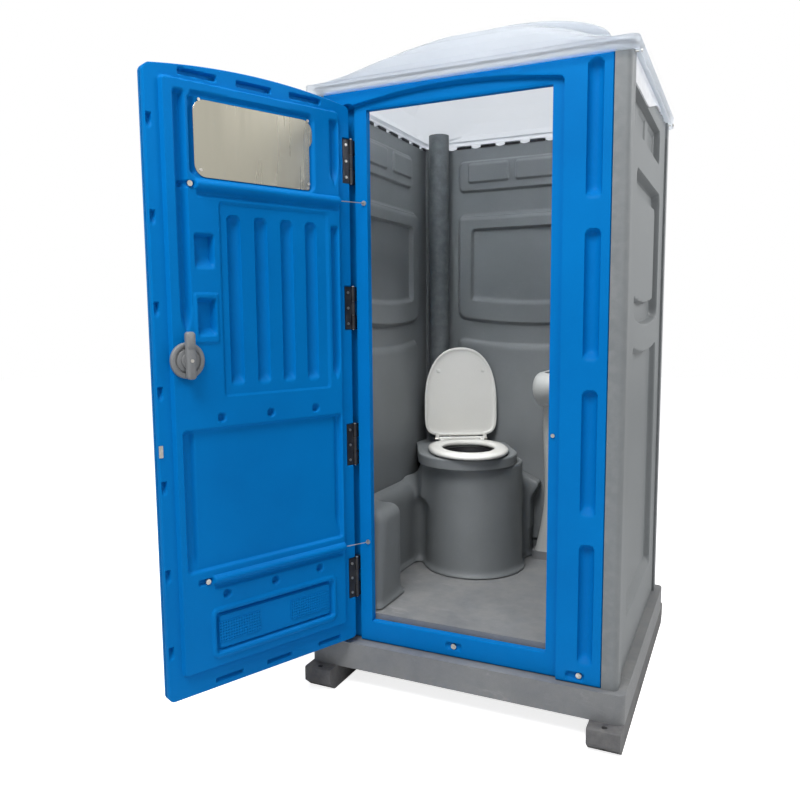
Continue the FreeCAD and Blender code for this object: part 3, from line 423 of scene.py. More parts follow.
def graded(low, high, marks, fine, coarse):
    """Grid lines from low to high that crowd together around each mark."""
    stops = [low]
    for mark in sorted(marks) + [high]:
        if low < mark <= high and mark - stops[-1] > fine * 0.5:
            stops.append(mark)
    stops[-1] = high
    lines = []
    for start, stop in zip(stops, stops[1:]):
        offsets, run, step = [0.0], 0.0, fine
        while run + step < (stop - start) / 2:
            run += step
            offsets.append(run)
            step = min(step * 1.5, coarse)
        lines += [start + run for run in offsets] + [stop - run for run in reversed(offsets[1:])]
    return np.array(lines + [high])


class Skin:
    """One moulded skin: a face and a back over the same outline, in millimetres.

    A step raises or sinks the face (or the back) inside a round-cornered outline,
    with a sloped wall. Its head and foot are longer slopes at its two ends, and
    vee gives the foot the triangular facet that such moulds leave.
    """

    def __init__(self, left, right, low, high, face, back, lip=4):
        self.left, self.right, self.low, self.high = left, right, low, high
        self.start = {"face": face, "back": back}
        self.steps = {"face": [], "back": []}
        self.holes = []
        self.lip = lip
        self.marks = (set(), set())

    def step(
        self, left, right, low, high, rise, radius=8, slope=6, head=0, foot=0, vee=0, side="face", marks=()
    ):
        """Raises or sinks one side. low and high are levels, or curves over the skin's width."""
        middle = (left + right) / 2

        def height(a, z):
            bottom = low(a) if callable(low) else low
            top = high(a) if callable(high) else high
            share = ease(inside_of(a, z, left, right, bottom, top, radius) / slope)
            if head:
                share = share * ease((top - z) / head)
            if foot:
                share = share * ease((z - bottom - vee * np.abs(a - middle)) / foot)
            return rise * share

        self.steps[side].append(height)
        self.marks[0].update((left, left + slope, right - slope, right))
        self.marks[1].update(marks)
        if not callable(low):
            self.marks[1].update((low, low + slope, low + foot))
        if not callable(high):
            self.marks[1].update((high, high - slope, high - head))

    def groove(self, middle, half, low, high, rise, foot=0):
        """A round-bottomed groove, or a round ridge where rise is upward, with round ends."""

        def height(a, z):
            past = np.maximum(0, np.maximum(z - (high - half), (low + half) - z))
            share = np.sqrt(np.clip(1 - ((a - middle) ** 2 + past**2) / half**2, 0, 1))
            return rise * share * (ease((z - low) / foot) if foot else 1)

        self.steps["face"].append(height)
        self.marks[0].update((middle - half, middle - half * 0.9, middle, middle + half * 0.9, middle + half))
        self.marks[1].update((low, low + half * 0.5, low + half, high - half, high - half * 0.5, high))

    def tube(self, left, right, level, radius):
        """Half a tube lying along the face, as the ridge that a cord runs in."""

        def height(a, z):
            share = np.sqrt(np.clip(1 - ((z - level) / radius) ** 2, 0, 1))
            return radius * share * ease((a - left) / 6) * ease((right - a) / 6)

        self.steps["face"].append(height)
        self.marks[0].update((left, left + 6, right - 6, right))
        shares = (-1, -0.95, -0.8, -0.4, 0, 0.4, 0.8, 0.95, 1)
        self.marks[1].update(level + radius * share for share in shares)

    def dimple(self, a, z, radius, depth):
        self.step(a - radius, a + radius, z - radius, z + radius, -depth, radius=radius, slope=radius * 0.5)

    def hole(self, left, right, low, high):
        self.holes.append((left, right, low, high))
        self.marks[0].update((left, right))
        self.marks[1].update((low, high))

    def mesh(self, name, place, shape=None, fine=3.0, coarse=18.0):
        """Turns the skin into one closed mesh. place takes along, out and up to metres."""
        across = graded(self.left, self.right, self.marks[0], fine, coarse)
        upward = graded(self.low, self.high, self.marks[1], fine, coarse)
        flat_a, flat_z = np.meshgrid(across, upward, indexing="ij")
        a, z = shape(flat_a, flat_z) if shape else (flat_a, flat_z)
        heights = {side: np.full_like(a, level) for side, level in self.start.items()}
        for side, steps in self.steps.items():
            for step in steps:
                heights[side] = heights[side] + step(a, z)
        from_sides = np.minimum(flat_a - self.left, self.right - flat_a)
        rim = np.minimum(from_sides, np.minimum(flat_z - self.low, self.high - flat_z))
        turned = np.clip(self.lip - rim, 0, self.lip)
        outward = 1 if self.start["face"] > self.start["back"] else -1
        heights["face"] = heights["face"] - outward * (self.lip - np.sqrt(self.lip**2 - turned**2))
        count_a, count_z = a.shape
        index = np.arange(a.size).reshape(a.shape)
        middle_a, middle_z = (across[1:] + across[:-1]) / 2, (upward[1:] + upward[:-1]) / 2
        solid = np.ones((count_a - 1, count_z - 1), bool)
        for left, right, low, high in self.holes:
            gone_a, gone_z = (middle_a > left) & (middle_a < right), (middle_z > low) & (middle_z < high)
            solid[np.ix_(gone_a, gone_z)] = False
        corners = np.stack([index[:-1, :-1], index[1:, :-1], index[1:, 1:], index[:-1, 1:]], -1)
        quads = corners[solid]
        faces = [quads, quads[:, ::-1] + a.size]
        padded = np.pad(solid, 1)
        for (di, dj), (p, q) in (((-1, 0), (3, 0)), ((1, 0), (1, 2)), ((0, -1), (0, 1)), ((0, 1), (2, 3))):
            beside = padded[1 + di : count_a + di, 1 + dj : count_z + dj]
            edge = corners[solid & ~beside]
            faces.append(np.stack([edge[:, q], edge[:, p], edge[:, p] + a.size, edge[:, q] + a.size], -1))
        faces = np.concatenate(faces)
        points = np.concatenate([place(a, heights[side], z).reshape(-1, 3) for side in ("face", "back")]) * MM
        used, faces = np.unique(faces, return_inverse=True)
        faces = faces.reshape(-1, 4)
        points = points[used]
        corner = points[faces[0]]
        looks = np.cross(corner[1] - corner[0], corner[3] - corner[0])
        origin = np.zeros(1)
        toward = place(origin, origin + outward, origin) - place(origin, origin, origin)
        if looks @ toward[0] < 0:
            faces = faces[:, ::-1]
        return shaded(drawn_mesh(name, points, faces), 50)


# The door


HINGE_X, HINGE_Y = JOINTS["door_swing"]["pos_m"][0] / MM, JOINTS["door_swing"]["pos_m"][1] / MM
OPEN = math.radians(JOINTS["door_swing"]["range_deg"][1])
LATCH_ALONG, LATCH_UP = 618, 1199
CORD_HIGH, CORD_LOW = 1695, 537
VENTS = ((405, 542), (139, 285))
DOOR_LEFT, DOOR_RIGHT, DOOR_FOOT, DOOR_TOP = 9, 706, 190, 2032
ARCH_RADIUS = 2183


def on_door(along, out, up):
    """From the door's own axes, hung open, to the cabin's. Out is into the cabin when it is shut."""
    x = HINGE_X + along * math.cos(OPEN) + out * math.sin(OPEN)
    y = HINGE_Y - along * math.sin(OPEN) + out * math.cos(OPEN)
    return np.stack([x, y, up + 0 * x], -1)


def door_outline(a, z):
    """Bends a plain rectangle to the arched head and the round corners of the door."""
    radius, middle, half = 20, (DOOR_LEFT + DOOR_RIGHT) / 2, (DOOR_RIGHT - DOOR_LEFT) / 2
    bend_from = 1900
    head = DOOR_TOP - ARCH_RADIUS + np.sqrt(ARCH_RADIUS**2 - (a - middle) ** 2)
    lifted = bend_from + (z - bend_from) * (head - bend_from) / (DOOR_TOP - bend_from)
    z = np.where(z > bend_from, lifted, z)
    share_a = np.clip((np.abs(a - middle) - half + radius) / radius, 0, 1)
    top = np.clip((z - head + radius) / radius, 0, 1)
    bottom = np.clip((DOOR_FOOT + radius - z) / radius, 0, 1)
    share_z = np.maximum(top, bottom)
    pull_a = radius * share_a * (1 - np.sqrt(1 - share_z**2 / 2))
    pull_z = radius * share_z * (1 - np.sqrt(1 - share_a**2 / 2))
    a = a - np.sign(a - middle) * pull_a
    z = z - np.where(top > 0, pull_z, 0) + np.where(bottom > 0, pull_z, 0)
    return a, z


def door_skin(face, back, lip):
    """A plain door skin, with close grid lines at its round corners."""
    skin = Skin(DOOR_LEFT, DOOR_RIGHT, DOOR_FOOT, DOOR_TOP, face, back, lip)
    for inset in (3, 7, 12, 19):
        skin.marks[0].update((DOOR_LEFT + inset, DOOR_RIGHT - inset))
    skin.marks[1].update((193, 197, 202, 210, 2012, 2020, 2025, 2029))
    return skin


def door_inner_skin():
    """The door's inner skin, with its flange, raised field, recesses and grooves."""
    skin = door_skin(face=5, back=-13.8, lip=4)
    for step in (
        # Left, right, low, high and rise, then radius, slope, head, foot and vee.
        # The raised field, with the mirror's recess and the ledge round it.
        (58, 664, 258, 1980, 14, 14, 7),
        (157, 586, 1708, 1957, -10, 30, 9, 34),
        (560, 589, 1722, 1940, -9, 12, 9),
        (168, 580, 1936, 1953, -9, 7, 7),
        # Long side grooves, finger pockets and the fluted panel.
        (594, 632, 1262, 1950, -21, 12, 12, 0, 70, 2.2),
        (64, 102, 1735, 1953, -20, 10, 12, 16, 60, 2.0),
        (518, 582, 1455, 1562, -25, 10, 8, 10, 40),
        (512, 588, 1246, 1392, 4, 8, 4),
        (520, 580, 1262, 1380, -26, 10, 8, 14, 32),
        (112, 500, 1086, 1654, -5, 12, 5),
        (68, 102, 1105, 1617, -20, 12, 12, 12, 60, 1.6),
        # The lower panel and the vent's double frame.
        (67, 640, 566, 1000, -11, 18, 10, 12, 10),
        (598, 640, 562, 1000, -12, 14, 12, 20, 60),
        (67, 96, 590, 1000, -6, 10, 10, 0, 60, 1.5),
        (104, 571, 288, 449, 5, 22, 5),
        (116, 559, 300, 437, -16, 16, 9, 12, 14),
        (128, 547, 312, 425, 9, 12, 6),
    ):
        skin.step(*step)
    for middle in (177, 268, 360, 452):
        skin.groove(middle, 23, 1113, 1620, -20, foot=36)
    # Dimples, pockets along the flange, cord tubes and hinge seats.
    for z, spots in ((1025, (512, 342, 173)), (484, (514, 342, 170))):
        for spot in spots:
            skin.dimple(spot, z, 15, 16)
    for z in (1852, 1593, 1342, 1104, 833, 572, 339):
        skin.step(686, 703, z - 24, z + 24, -14, radius=4, slope=4, head=6, foot=30, vee=1.0)
    for spot in (547, 365, 182):
        skin.step(spot - 60, spot + 60, 1990, 2010, -15, radius=8, slope=5)
    for spot in (508, 327, 125):
        skin.step(spot - 48, spot + 48, 206, 222, -13, radius=6, slope=5)
    for level, end in ((CORD_HIGH, 574), (CORD_LOW, 562)):
        skin.tube(62, end, level, 13)
        skin.step(66, end - 4, level - 34, level - 11, -7, radius=8, slope=9)
        skin.step(end - 4, end + 46, level - 12, level + 10, -12, radius=8, slope=7)
    for z in (409, 882, 1349, 1831):
        skin.step(2, 37.5, z - 74, z + 74, -7.4, radius=1, slope=1.2)
    skin.hole(LATCH_ALONG - 9, LATCH_ALONG + 9, LATCH_UP - 9, LATCH_UP + 9)
    link("door_inner_skin", skin.mesh("door_inner_skin", on_door, door_outline), node="door_inner_panel")


def door_outer_skin():
    """The door's outer skin, with its flutes, upper field and louvred vent."""
    skin = door_skin(face=-36, back=-18, lip=8)
    skin.step(90, 610, 1330, 1930, 8, radius=30, slope=12)
    for middle in (149.5, 253.5, 357.5, 461.5, 565.5):
        skin.groove(middle, 40, 420, 1060, 12)
    skin.step(112, 563, 300, 400, 8, radius=16, slope=7)
    for left, right in VENTS:
        for spot in range(left + 4, right - 8, 12):
            skin.hole(spot, spot + 5, 346, 392)
    skin.hole(LATCH_ALONG - 8, LATCH_ALONG + 8, LATCH_UP - 8, LATCH_UP + 8)
    link("door_outer_skin", skin.mesh("door_outer_skin", on_door, door_outline), node="door_outer_panel")


def vent_plate(name, left, right):
    """A perforated plate over one vent opening, in the recess near the foot of the door."""
    pitch, bore, low, rows, face, thickness = 9.0, 2.9, 337, 7, 18.2, 0.0015
    columns = int((right - left + 8) / pitch)
    start = (left + right) / 2 - columns * pitch / 2
    points, faces = [], []
    around = [(-1, -1), (0, -1), (1, -1), (1, 0), (1, 1), (0, 1), (-1, 1), (-1, 0)]
    for i in range(columns):
        for j in range(rows):
            a, z = start + (i + 0.5) * pitch, low + (j + 0.5) * pitch
            base = len(points)
            points += [(a + da * pitch / 2, z + dz * pitch / 2) for da, dz in around]
            turns = [math.atan2(dz, da) for da, dz in around]
            points += [(a + bore * math.cos(t), z + bore * math.sin(t)) for t in turns]
            faces += between_loops(base, base + 8, 8)
    flat = np.array(points)
    mesh = drawn_mesh(name, on_door(flat[:, 0], np.full(len(flat), face), flat[:, 1]) * MM, faces)
    reworked(mesh, lambda solid: bmesh.ops.remove_doubles(solid, verts=solid.verts, dist=1e-5))
    piece = link(name, mesh, body="door", slot="door_blue")
    thick = piece.modifiers.new("thickness", "SOLIDIFY")
    thick.thickness = thickness
    thick.offset = 0


def mirror_plate():
    """The polished steel mirror: round corners, a dressed edge and the nick in its hinge side."""
    left, right, low, high, radius = 163, 568, 1718, 1933, 36
    outline = []
    for a, z, turn in ((right, high, 0), (left, high, 90), (left + 12, low, 180), (right, low, 270)):
        size = 8 if turn == 180 else radius
        sa, sz = (1 if turn in (0, 270) else -1), (1 if turn in (0, 90) else -1)
        for step in range(0, 91, 10):
            t = math.radians(turn + step)
            outline.append((a - sa * size + size * math.cos(t), z - sz * size + size * math.sin(t)))
        if turn == 90:
            outline += [(left, 1872), (left + 4, 1862), (left + 12, 1852)]
    flat = np.array(outline)
    count = len(flat)
    rings = [on_door(flat[:, 0], np.full(count, out), flat[:, 1]) * MM for out in (9.2, 12.0)]
    faces = [range(count)[::-1], range(count, 2 * count), *between_loops(0, count, count)]
    mesh = shaded(facing_out(drawn_mesh("mirror", np.concatenate(rings), faces)), 30)
    piece = link("mirror_plate", mesh, node="mirror")
    bevel = piece.modifiers.new("dressed_edge", "BEVEL")
    bevel.width = 0.001
    bevel.segments = 2
    bevel.limit_method = "ANGLE"


# Walls


REAR_FACE, SIDE_FACE = 472, 500
WALL_FOOT, WALL_TOP = 174, 2062


def on_wall(side):
    """From a wall's own axes, along it and out of the cabin, to the cabin's."""
    if side == "rear":
        return lambda along, out, up: np.stack([along, REAR_FACE + out, up + 0 * out], -1)
    turn = 1 if side == "right" else -1
    return lambda along, out, up: np.stack([turn * (SIDE_FACE + out), -turn * along, up + 0 * out], -1)


def wall_skin(side, half, band, panels):
    """One wall panel: window field, lower field and upper band, proud inside and hollow outside."""
    skin = Skin(-half, half, WALL_FOOT, WALL_TOP, face=0, back=17, lip=2)
    reach, window = half - 118, half - 184
    field_foot, field_top, window_foot, window_top, lower_foot, lower_top = 1276, 1778, 1366, 1704, 320, 1240

    def sag(level):
        return lambda a: level + a * a / 4000

    def dip(level):
        return lambda a: level - 36 + np.minimum(36, a * a / 4000)

    low_curve = [field_foot + run for run in (0, 7, 14, 21, 28)]
    high_curve = [lower_top - 36 + run for run in (0, 7, 14, 21, 28, 36)]
    ledge = [window_foot + run for run in (0, 6, 12, 20)]
    skin.step(-reach, reach, sag(field_foot), field_top, -20, radius=40, slope=16, head=40, marks=low_curve)
    skin.step(
        -reach, reach, lower_foot, dip(lower_top), -12, radius=40, slope=18, head=30, marks=high_curve
    )
    skin.step(-window, window, sag(window_foot), window_top, 19, radius=20, slope=8, foot=24, marks=ledge)
    inner, behind = reach - 8, dict(radius=32, slope=12, side="back")
    skin.step(-inner, inner, sag(field_foot + 8), field_top - 8, -29, marks=low_curve, **behind)
    skin.step(-inner, inner, lower_foot + 8, dip(lower_top - 8), -21, foot=40, marks=high_curve, **behind)
    wide = window + 8
    skin.step(-wide, wide, sag(window_foot - 10), window_top + 10, 18, radius=28, slope=8, side="back")
    left, right = band
    skin.step(left, right, 1862, 2000, -12, radius=24, slope=9)
    skin.step(left + 8, right - 8, 1870, 1992, -21, radius=16, slope=8, side="back")
    for middle in panels:
        skin.step(middle - 94, middle + 94, 1900, 1986, -8, radius=14, slope=7)
        skin.step(middle - 86, middle + 86, 1908, 1978, -7, radius=8, slope=6, side="back")
    notches = np.arange(-385, 386, 110)
    for notch in notches:
        skin.marks[0].update(notch + off for off in (-27, -18, -9, 0, 9, 18, 27))

    def notched_top(a, z):
        away = np.min([np.abs(a - notch) for notch in notches], axis=0)
        depth = np.maximum(0, np.sqrt(np.maximum(0, 40**2 - away**2)) - 30)
        return a, z - depth * np.clip((z - 2022) / 40, 0, 1)

    name = side + "_wall"
    # Black strips along the wall top, behind the notches, are painted shade: they stand in for the shadowed vent
    # gaps under the roof rim.
    ends = [-half - 20, *notches, half + 20]
    shade_dashes = [box_form(a + 22, b - 22, -2.5, 8, 2052, 2066, 1.0) for a, b in zip(ends, ends[1:])]
    shade_strip = joined(name + "_shade_strip", shade_dashes)
    corners = np.array([tuple(vert.co) for vert in shade_strip.vertices])
    shade_strip.vertices.foreach_set("co", (on_wall(side)(*corners.T) * MM).astype(np.float32).ravel())
    link(name + "_shade_strip", shade_strip, body="cabin", slot="black_plastic")
    link(name + "_skin", skin.mesh(name + "_sheet", on_wall(side), notched_top), node=name)


# Tank and seat


def smooth_join(a, b, blend):
    """The union of two shapes given as distances, with a fillet of about half of blend."""
    share = np.clip(0.5 + 0.5 * (b - a) / blend, 0, 1)
    return b + (a - b) * share - blend * share * (1 - share)


def smooth_meet(a, b, blend):
    return -smooth_join(-a, -b, blend)


def block(x, y, z, low, high, radius=0):
    """The distance to a box with rounded edges."""
    past = [np.abs(p - (a + b) / 2) - (b - a) / 2 + radius for p, a, b in zip((x, y, z), low, high)]
    outside = np.sqrt(sum(np.maximum(p, 0) ** 2 for p in past))
    return outside + np.minimum(np.maximum(np.maximum(past[0], past[1]), past[2]), 0) - radius


def flat_shape(a, b, corners):
    """The distance to a closed outline in a plane."""
    nearest, inside = np.full(a.shape, 1e9), np.zeros(a.shape, bool)
    for (a0, b0), (a1, b1) in zip(corners, corners[1:] + corners[:1]):
        run_a, run_b = a1 - a0, b1 - b0
        share = np.clip(((a - a0) * run_a + (b - b0) * run_b) / (run_a**2 + run_b**2), 0, 1)
        nearest = np.minimum(nearest, np.hypot(a - a0 - share * run_a, b - b0 - share * run_b))
        crosses = ((b0 > b) != (b1 > b)) & (a < a0 + (b - b0) * run_a / (run_b if run_b else 1e-9))
        inside ^= crosses
    return np.where(inside, -nearest, nearest)


def netted(name, field, low, high, pitch):
    """A closed mesh over a shape given as distances: one point in each cell that its skin passes."""
    axes = [np.arange(a - 2 * pitch, b + 3 * pitch, pitch) for a, b in zip(low, high)]
    far = field(*np.meshgrid(*axes, indexing="ij"))
    cells = np.array(far.shape) - 1
    total, count, edges = np.zeros((*cells, 3)), np.zeros(cells), []
    for axis in range(3):
        u, v = (axis + 1) % 3, (axis + 2) % 3
        here = np.take(far, np.arange(cells[axis]), axis)
        there = np.take(far, np.arange(1, cells[axis] + 1), axis)
        crossed = (here < 0) != (there < 0)
        share = np.where(crossed, here / np.where(crossed, here - there, 1), 0)
        edges.append((crossed, here < 0))
        for du in (0, 1):
            for dv in (0, 1):
                window = [slice(None)] * 3
                window[u], window[v] = slice(du, du + cells[u]), slice(dv, dv + cells[v])
                hit = crossed[tuple(window)]
                count += hit
                total[..., axis] += share[tuple(window)]
                total[..., u] += hit * du
                total[..., v] += hit * dv
    used = count > 0
    number = np.cumsum(used).reshape(cells) - 1
    points = np.argwhere(used) + total[used] / count[used][:, None]
    points = (np.array([axis[0] for axis in axes]) + points * pitch) * MM
    faces = []
    for axis, (crossed, outward) in enumerate(edges):
        u, v = (axis + 1) % 3, (axis + 2) % 3
        at = np.argwhere(crossed)
        at = at[(at[:, u] > 0) & (at[:, v] > 0) & (at[:, u] < cells[u]) & (at[:, v] < cells[v])]
        around = []
        for du, dv in ((1, 1), (0, 1), (0, 0), (1, 0)):
            spot = at.copy()
            spot[:, u] -= du
            spot[:, v] -= dv
            around.append(number[tuple(spot.T)])
        quads = np.stack(around, -1)
        flipped = ~outward[tuple(at.T)]
        quads[flipped] = quads[flipped][:, ::-1]
        faces.append(quads)
    return shaded(drawn_mesh(name, points, np.concatenate(faces)), 60)


def tank_form(x, y, z):
    """Console, niche, rear block, shelf and pedestal, run together as one moulding."""
    floor, deck_foot, wall_line, rear_line = 270, 719.5, -487, 455
    rear_plan = [
        (wall_line, 155), (-300, 155), (-60, 300), (4, 393), (4, rear_line), (wall_line, rear_line),
    ]
    deck_plan = [(-475, 318), (-372, 92), (-32, 273), (-136, 443), (-475, 443)]
    shelf_plan = [(-200, 400), (4, 400), (4, 526), (40, 584), (40, 600), (-60, 642), (-200, 642)]
    lean = (z - 330) * 0.163 - 445
    console = smooth_meet(block(x, y, z, (-560, -446, 180), (-320, 200, 624), 44), lean - y, 60)
    niche = block(x, y, z, (-428, -197, 180), (-180, 156, 900), 52)
    rear = smooth_meet(flat_shape(x, y, rear_plan), z - 630, 70)
    ledge = np.maximum(flat_shape(x, z, shelf_plan), np.abs(y - 424) - 31)
    radius = 203 - (z - floor) / 60
    pedestal = np.hypot(x + 184, y - 204) - radius
    riser = np.maximum(flat_shape(x, y, deck_plan), 575 - z)
    body = smooth_meet(smooth_join(console, rear, 60), -niche, 75)
    for shape, blend in ((ledge, 20), (pedestal, 50), (riser, 70), (z - floor, 36)):
        body = smooth_join(body, shape, blend)
    drop = np.maximum(np.hypot(x + 191, y - 148) - 121, 600 - z)
    for cut in (floor + 0.2 - z, z - deck_foot, wall_line - x, y - rear_line, -drop):
        body = np.maximum(body, cut)
    return body


def waste_tank():
    mesh = netted("waste_tank", tank_form, (-490, -460, 268), (70, 458, 722), 8.0)
    every_way = {"use_axis_" + axis: True for axis in "xyz"}
    reworked(mesh, lambda solid: bmesh.ops.smooth_vert(solid, verts=solid.verts, factor=0.4, **every_way))
    link("waste_tank_moulding", mesh, node="waste_tank")


HINGE = Vector(JOINTS["lid_close"]["pos_m"])
SEAT_TURN = math.atan2(JOINTS["lid_close"]["axis"][1], JOINTS["lid_close"]["axis"][0])
LID_LEAN = math.radians(JOINTS["lid_close"]["range_deg"][1])


def seat_curve(half, front, rear, widest, squareness, nose=2.0, count=120):
    """A seat's outline from above: half an oval ahead of its widest line, toward -Y, and squarer behind."""
    middle = rear - widest * (rear - front)
    turns = np.linspace(0, 2 * math.pi, count, endpoint=False)
    ahead = np.sin(turns) < 0
    power, depth = np.where(ahead, nose, squareness), np.where(ahead, middle - front, rear - middle)
    across, along = [np.sign(v) * np.abs(v) ** (2 / power) for v in (np.cos(turns), np.sin(turns))]
    return np.column_stack([half * across, middle + depth * along])


def turned_form(name, loops, matrix=Matrix(), closed=False):
    """Joins loops of points into one form: a ring where closed, or else shut at both ends."""
    count, points = len(loops[0]), np.concatenate(loops)
    starts = [row * count for row in range(len(loops))]
    faces = []
    for here, there in zip(starts, starts[1:] + starts[:1] * closed):
        faces += between_loops(here, there, count)
    if not closed:
        points = np.concatenate([points, [loops[0].mean(0)], [loops[-1].mean(0)]])
        foot, head, last = len(points) - 2, len(points) - 1, starts[-1]
        faces += [(foot, (k + 1) % count, k) for k in range(count)]
        faces += [(head, last + k, last + (k + 1) % count) for k in range(count)]
    mesh = drawn_mesh(name, [matrix @ Vector(p * MM) for p in points], faces)
    return shaded(facing_out(mesh), 60)


def seat_axes(roll):
    return Matrix.Translation(HINGE) @ Matrix.Rotation(SEAT_TURN, 4, "Z") @ Matrix.Rotation(roll, 4, "X")


def rings(inner, outer, section):
    """Outlines from inner to outer, each at its share of the way and its own level."""
    return [
        np.column_stack([inner + (outer - inner) * share, np.full(len(outer), level)])
        for share, level in section
    ]


def seat_ring():
    """The seat ring: crowned on top, rolled over at both edges, with its hinge bar behind."""
    outer = seat_curve(163, -437, -28, 0.46, 2.7)
    inner = seat_curve(106, -360, -85, 0.48, 2.1)
    section = [
        (0.0, -6), (0.02, -1), (0.10, 2.4), (0.30, 3.8), (0.52, 4), (0.74, 3), (0.90, 0.4), (0.98, -4),
        (1.0, -9), (0.99, -13), (0.95, -15.8), (0.5, -16), (0.06, -15.8), (0.0, -12),
    ]
    lugs = [box_form(x, x + 16, -46, -2, -9, 3.9) for x in (-96, 80)]
    turns = np.linspace(0, 2 * math.pi, 20, endpoint=False)
    ends = ((102, 6.72), (102, 8.4))
    bar = [(-x, radius) for x, radius in ends] + [(x, radius) for x, radius in reversed(ends)]
    bar = [np.column_stack([np.full(20, x), r * np.cos(turns), r * np.sin(turns)]) for x, r in bar]
    parts = [
        turned_form("ring", rings(inner, outer, section), seat_axes(0), closed=True),
        turned_form("bar", bar, seat_axes(0)),
        *[placed(lug, seat_axes(0)) for lug in lugs],
    ]
    link("seat_ring_form", joined("seat_ring", parts), node="seat_ring")


def seat_lid():
    """The lid: domed outside, with a rolled lip, a shallow pan inside and two small buffers."""
    middle = np.array([0.0, -195.0])
    outline = seat_curve(160, -402, -11, 0.36, 5.5, 2.3)
    section = [
        (0.3, 12.4), (0.6, 12.0), (0.84, 11.4), (0.925, 10.8), (0.938, 9.6), (0.948, 7.6), (0.96, 7.1),
        (0.985, 7.1), (0.997, 8.6), (1.0, 11), (0.997, 14.5), (0.985, 17), (0.955, 19), (0.88, 20.8),
        (0.7, 22), (0.4, 22.8),
    ]
    lean = seat_axes(-LID_LEAN)
    parts = [turned_form("lid", rings(middle, outline, section), lean)]
    parts += [placed(box_form(x, x + 16, -26, 6, 1, 18), lean) for x in (-114, 98)]
    parts += [placed(box_form(x - 8, x + 8, -308, -292, 8.2, 13, 2), lean) for x in (-98, 98)]
    link("seat_lid_form", joined("seat_lid", parts), node="seat_lid")


def box_form(x0, x1, y0, y1, z0, z1, edge=2.5):
    """A small block with rounded edges, in millimetres."""
    centre, size = Vector((x0 + x1, y0 + y1, z0 + z1)) / 2, Vector((x1 - x0, y1 - y0, z1 - z0))

    def rounded(solid):
        bmesh.ops.create_cube(solid, size=1.0)
        for vert in solid.verts:
            vert.co = centre + vert.co * size
        edges = list(solid.edges)
        bmesh.ops.bevel(solid, geom=edges, offset=edge, segments=3, profile=0.5, affect="EDGES")

    return reworked(bpy.data.meshes.new("block"), rounded)


def placed(mesh, matrix):
    mesh.transform(matrix @ Matrix.Scale(MM, 4))
    return mesh


def joined(name, meshes):
    """Several closed meshes kept as one."""

    def gathered(solid):
        for mesh in meshes:
            solid.from_mesh(mesh)

    made = reworked(bpy.data.meshes.new(name), gathered)
    for mesh in meshes:
        bpy.data.meshes.remove(mesh)
    return shaded(made, 60)


# Roof, front frame and latch


def roof_shell():
    """The roof with its dome drawn in from the rim, so that a flat flange runs round it."""
    mesh = NODES["roof"].data.copy()
    rim_top, half_width, half_depth, margin = 2.0925, 0.552, 0.522, 0.13
    for vert in mesh.vertices:
        over_rim = float(ease((vert.co.z - rim_top) / 0.006))
        vert.co.x *= 1 - 0.12 * over_rim * float(ease((half_width - abs(vert.co.x)) / margin))
        vert.co.y *= 1 - 0.05 * over_rim * float(ease((half_depth - abs(vert.co.y)) / margin))
    link("roof_shell", shaded(mesh, 38), node="roof")


FRONT_FACE = -497


def on_front(along, depth, up):
    """From the front face, along it and back into the cabin, to the cabin's axes."""
    return np.stack([along, FRONT_FACE + depth, up + 0 * along], -1)


def head_curve(a):
    """The arched top of the door's seat in the frame."""
    middle = HINGE_X + (DOOR_LEFT + DOOR_RIGHT) / 2
    return DOOR_TOP - ARCH_RADIUS + np.sqrt((ARCH_RADIUS + 6) ** 2 - (np.clip(a, -428, 334) - middle) ** 2)


def front_skin():
    """The moulded door frame: arched seat, hinge channel, opening, side slots and bolt slots."""
    skin = Skin(-474.5, 474.5, 175, 2062, face=0, back=42, lip=5)
    skin.step(-428, 334, 100, head_curve, 17.2, radius=18, slope=3.2, marks=(2006, 2013, 2020, 2024))
    skin.step(-430, -366, 100, 2014, 18.2, radius=6, slope=3)
    skin.step(-318, 293, 246, 2000, 3, radius=16, slope=7)
    for top in (2043, 1570, 1097, 624):
        skin.groove(423.5, 23.5, top - 392, top, 24, foot=38)
    skin.step(364, 424, 184, 214, 12, radius=14.5, slope=5)
    skin.step(-45, 12, 198, 226, 10, radius=13.5, slope=5)
    skin.hole(-322, 297, 250, 1994)

    flat_to, arch_at, top = 1996, 2020, 2062

    def arched(a, z):
        arch = head_curve(a)
        lower = flat_to + (z - flat_to) * (arch - flat_to) / (arch_at - flat_to)
        upper = arch + (z - arch_at) * (top - arch) / (top - arch_at)
        return a, np.where(z > arch_at, upper, np.where(z > flat_to, lower, z))

    link("front_frame_skin", skin.mesh("front_frame", on_front, arched), node="front_frame")


def round_rectangle(left, right, low, high, radius, inset=0.0, count=9):
    points = []
    for sa, sz, turn in ((1, 1, 0), (-1, 1, 90), (-1, -1, 180), (1, -1, 270)):
        a, z = (right if sa > 0 else left) - sa * radius, (high if sz > 0 else low) - sz * radius
        for step in range(count):
            t = math.radians(turn + 90 * step / (count - 1))
            points.append((a + (radius - inset) * math.cos(t), z + (radius - inset) * math.sin(t)))
    return np.array(points)


def stacked(name, layers, place):
    """A closed form from outlines at rising levels, each in millimetres."""
    loops = [place(flat[:, 0], np.full(len(flat), level), flat[:, 1]) for flat, level in layers]
    return turned_form(name, loops)


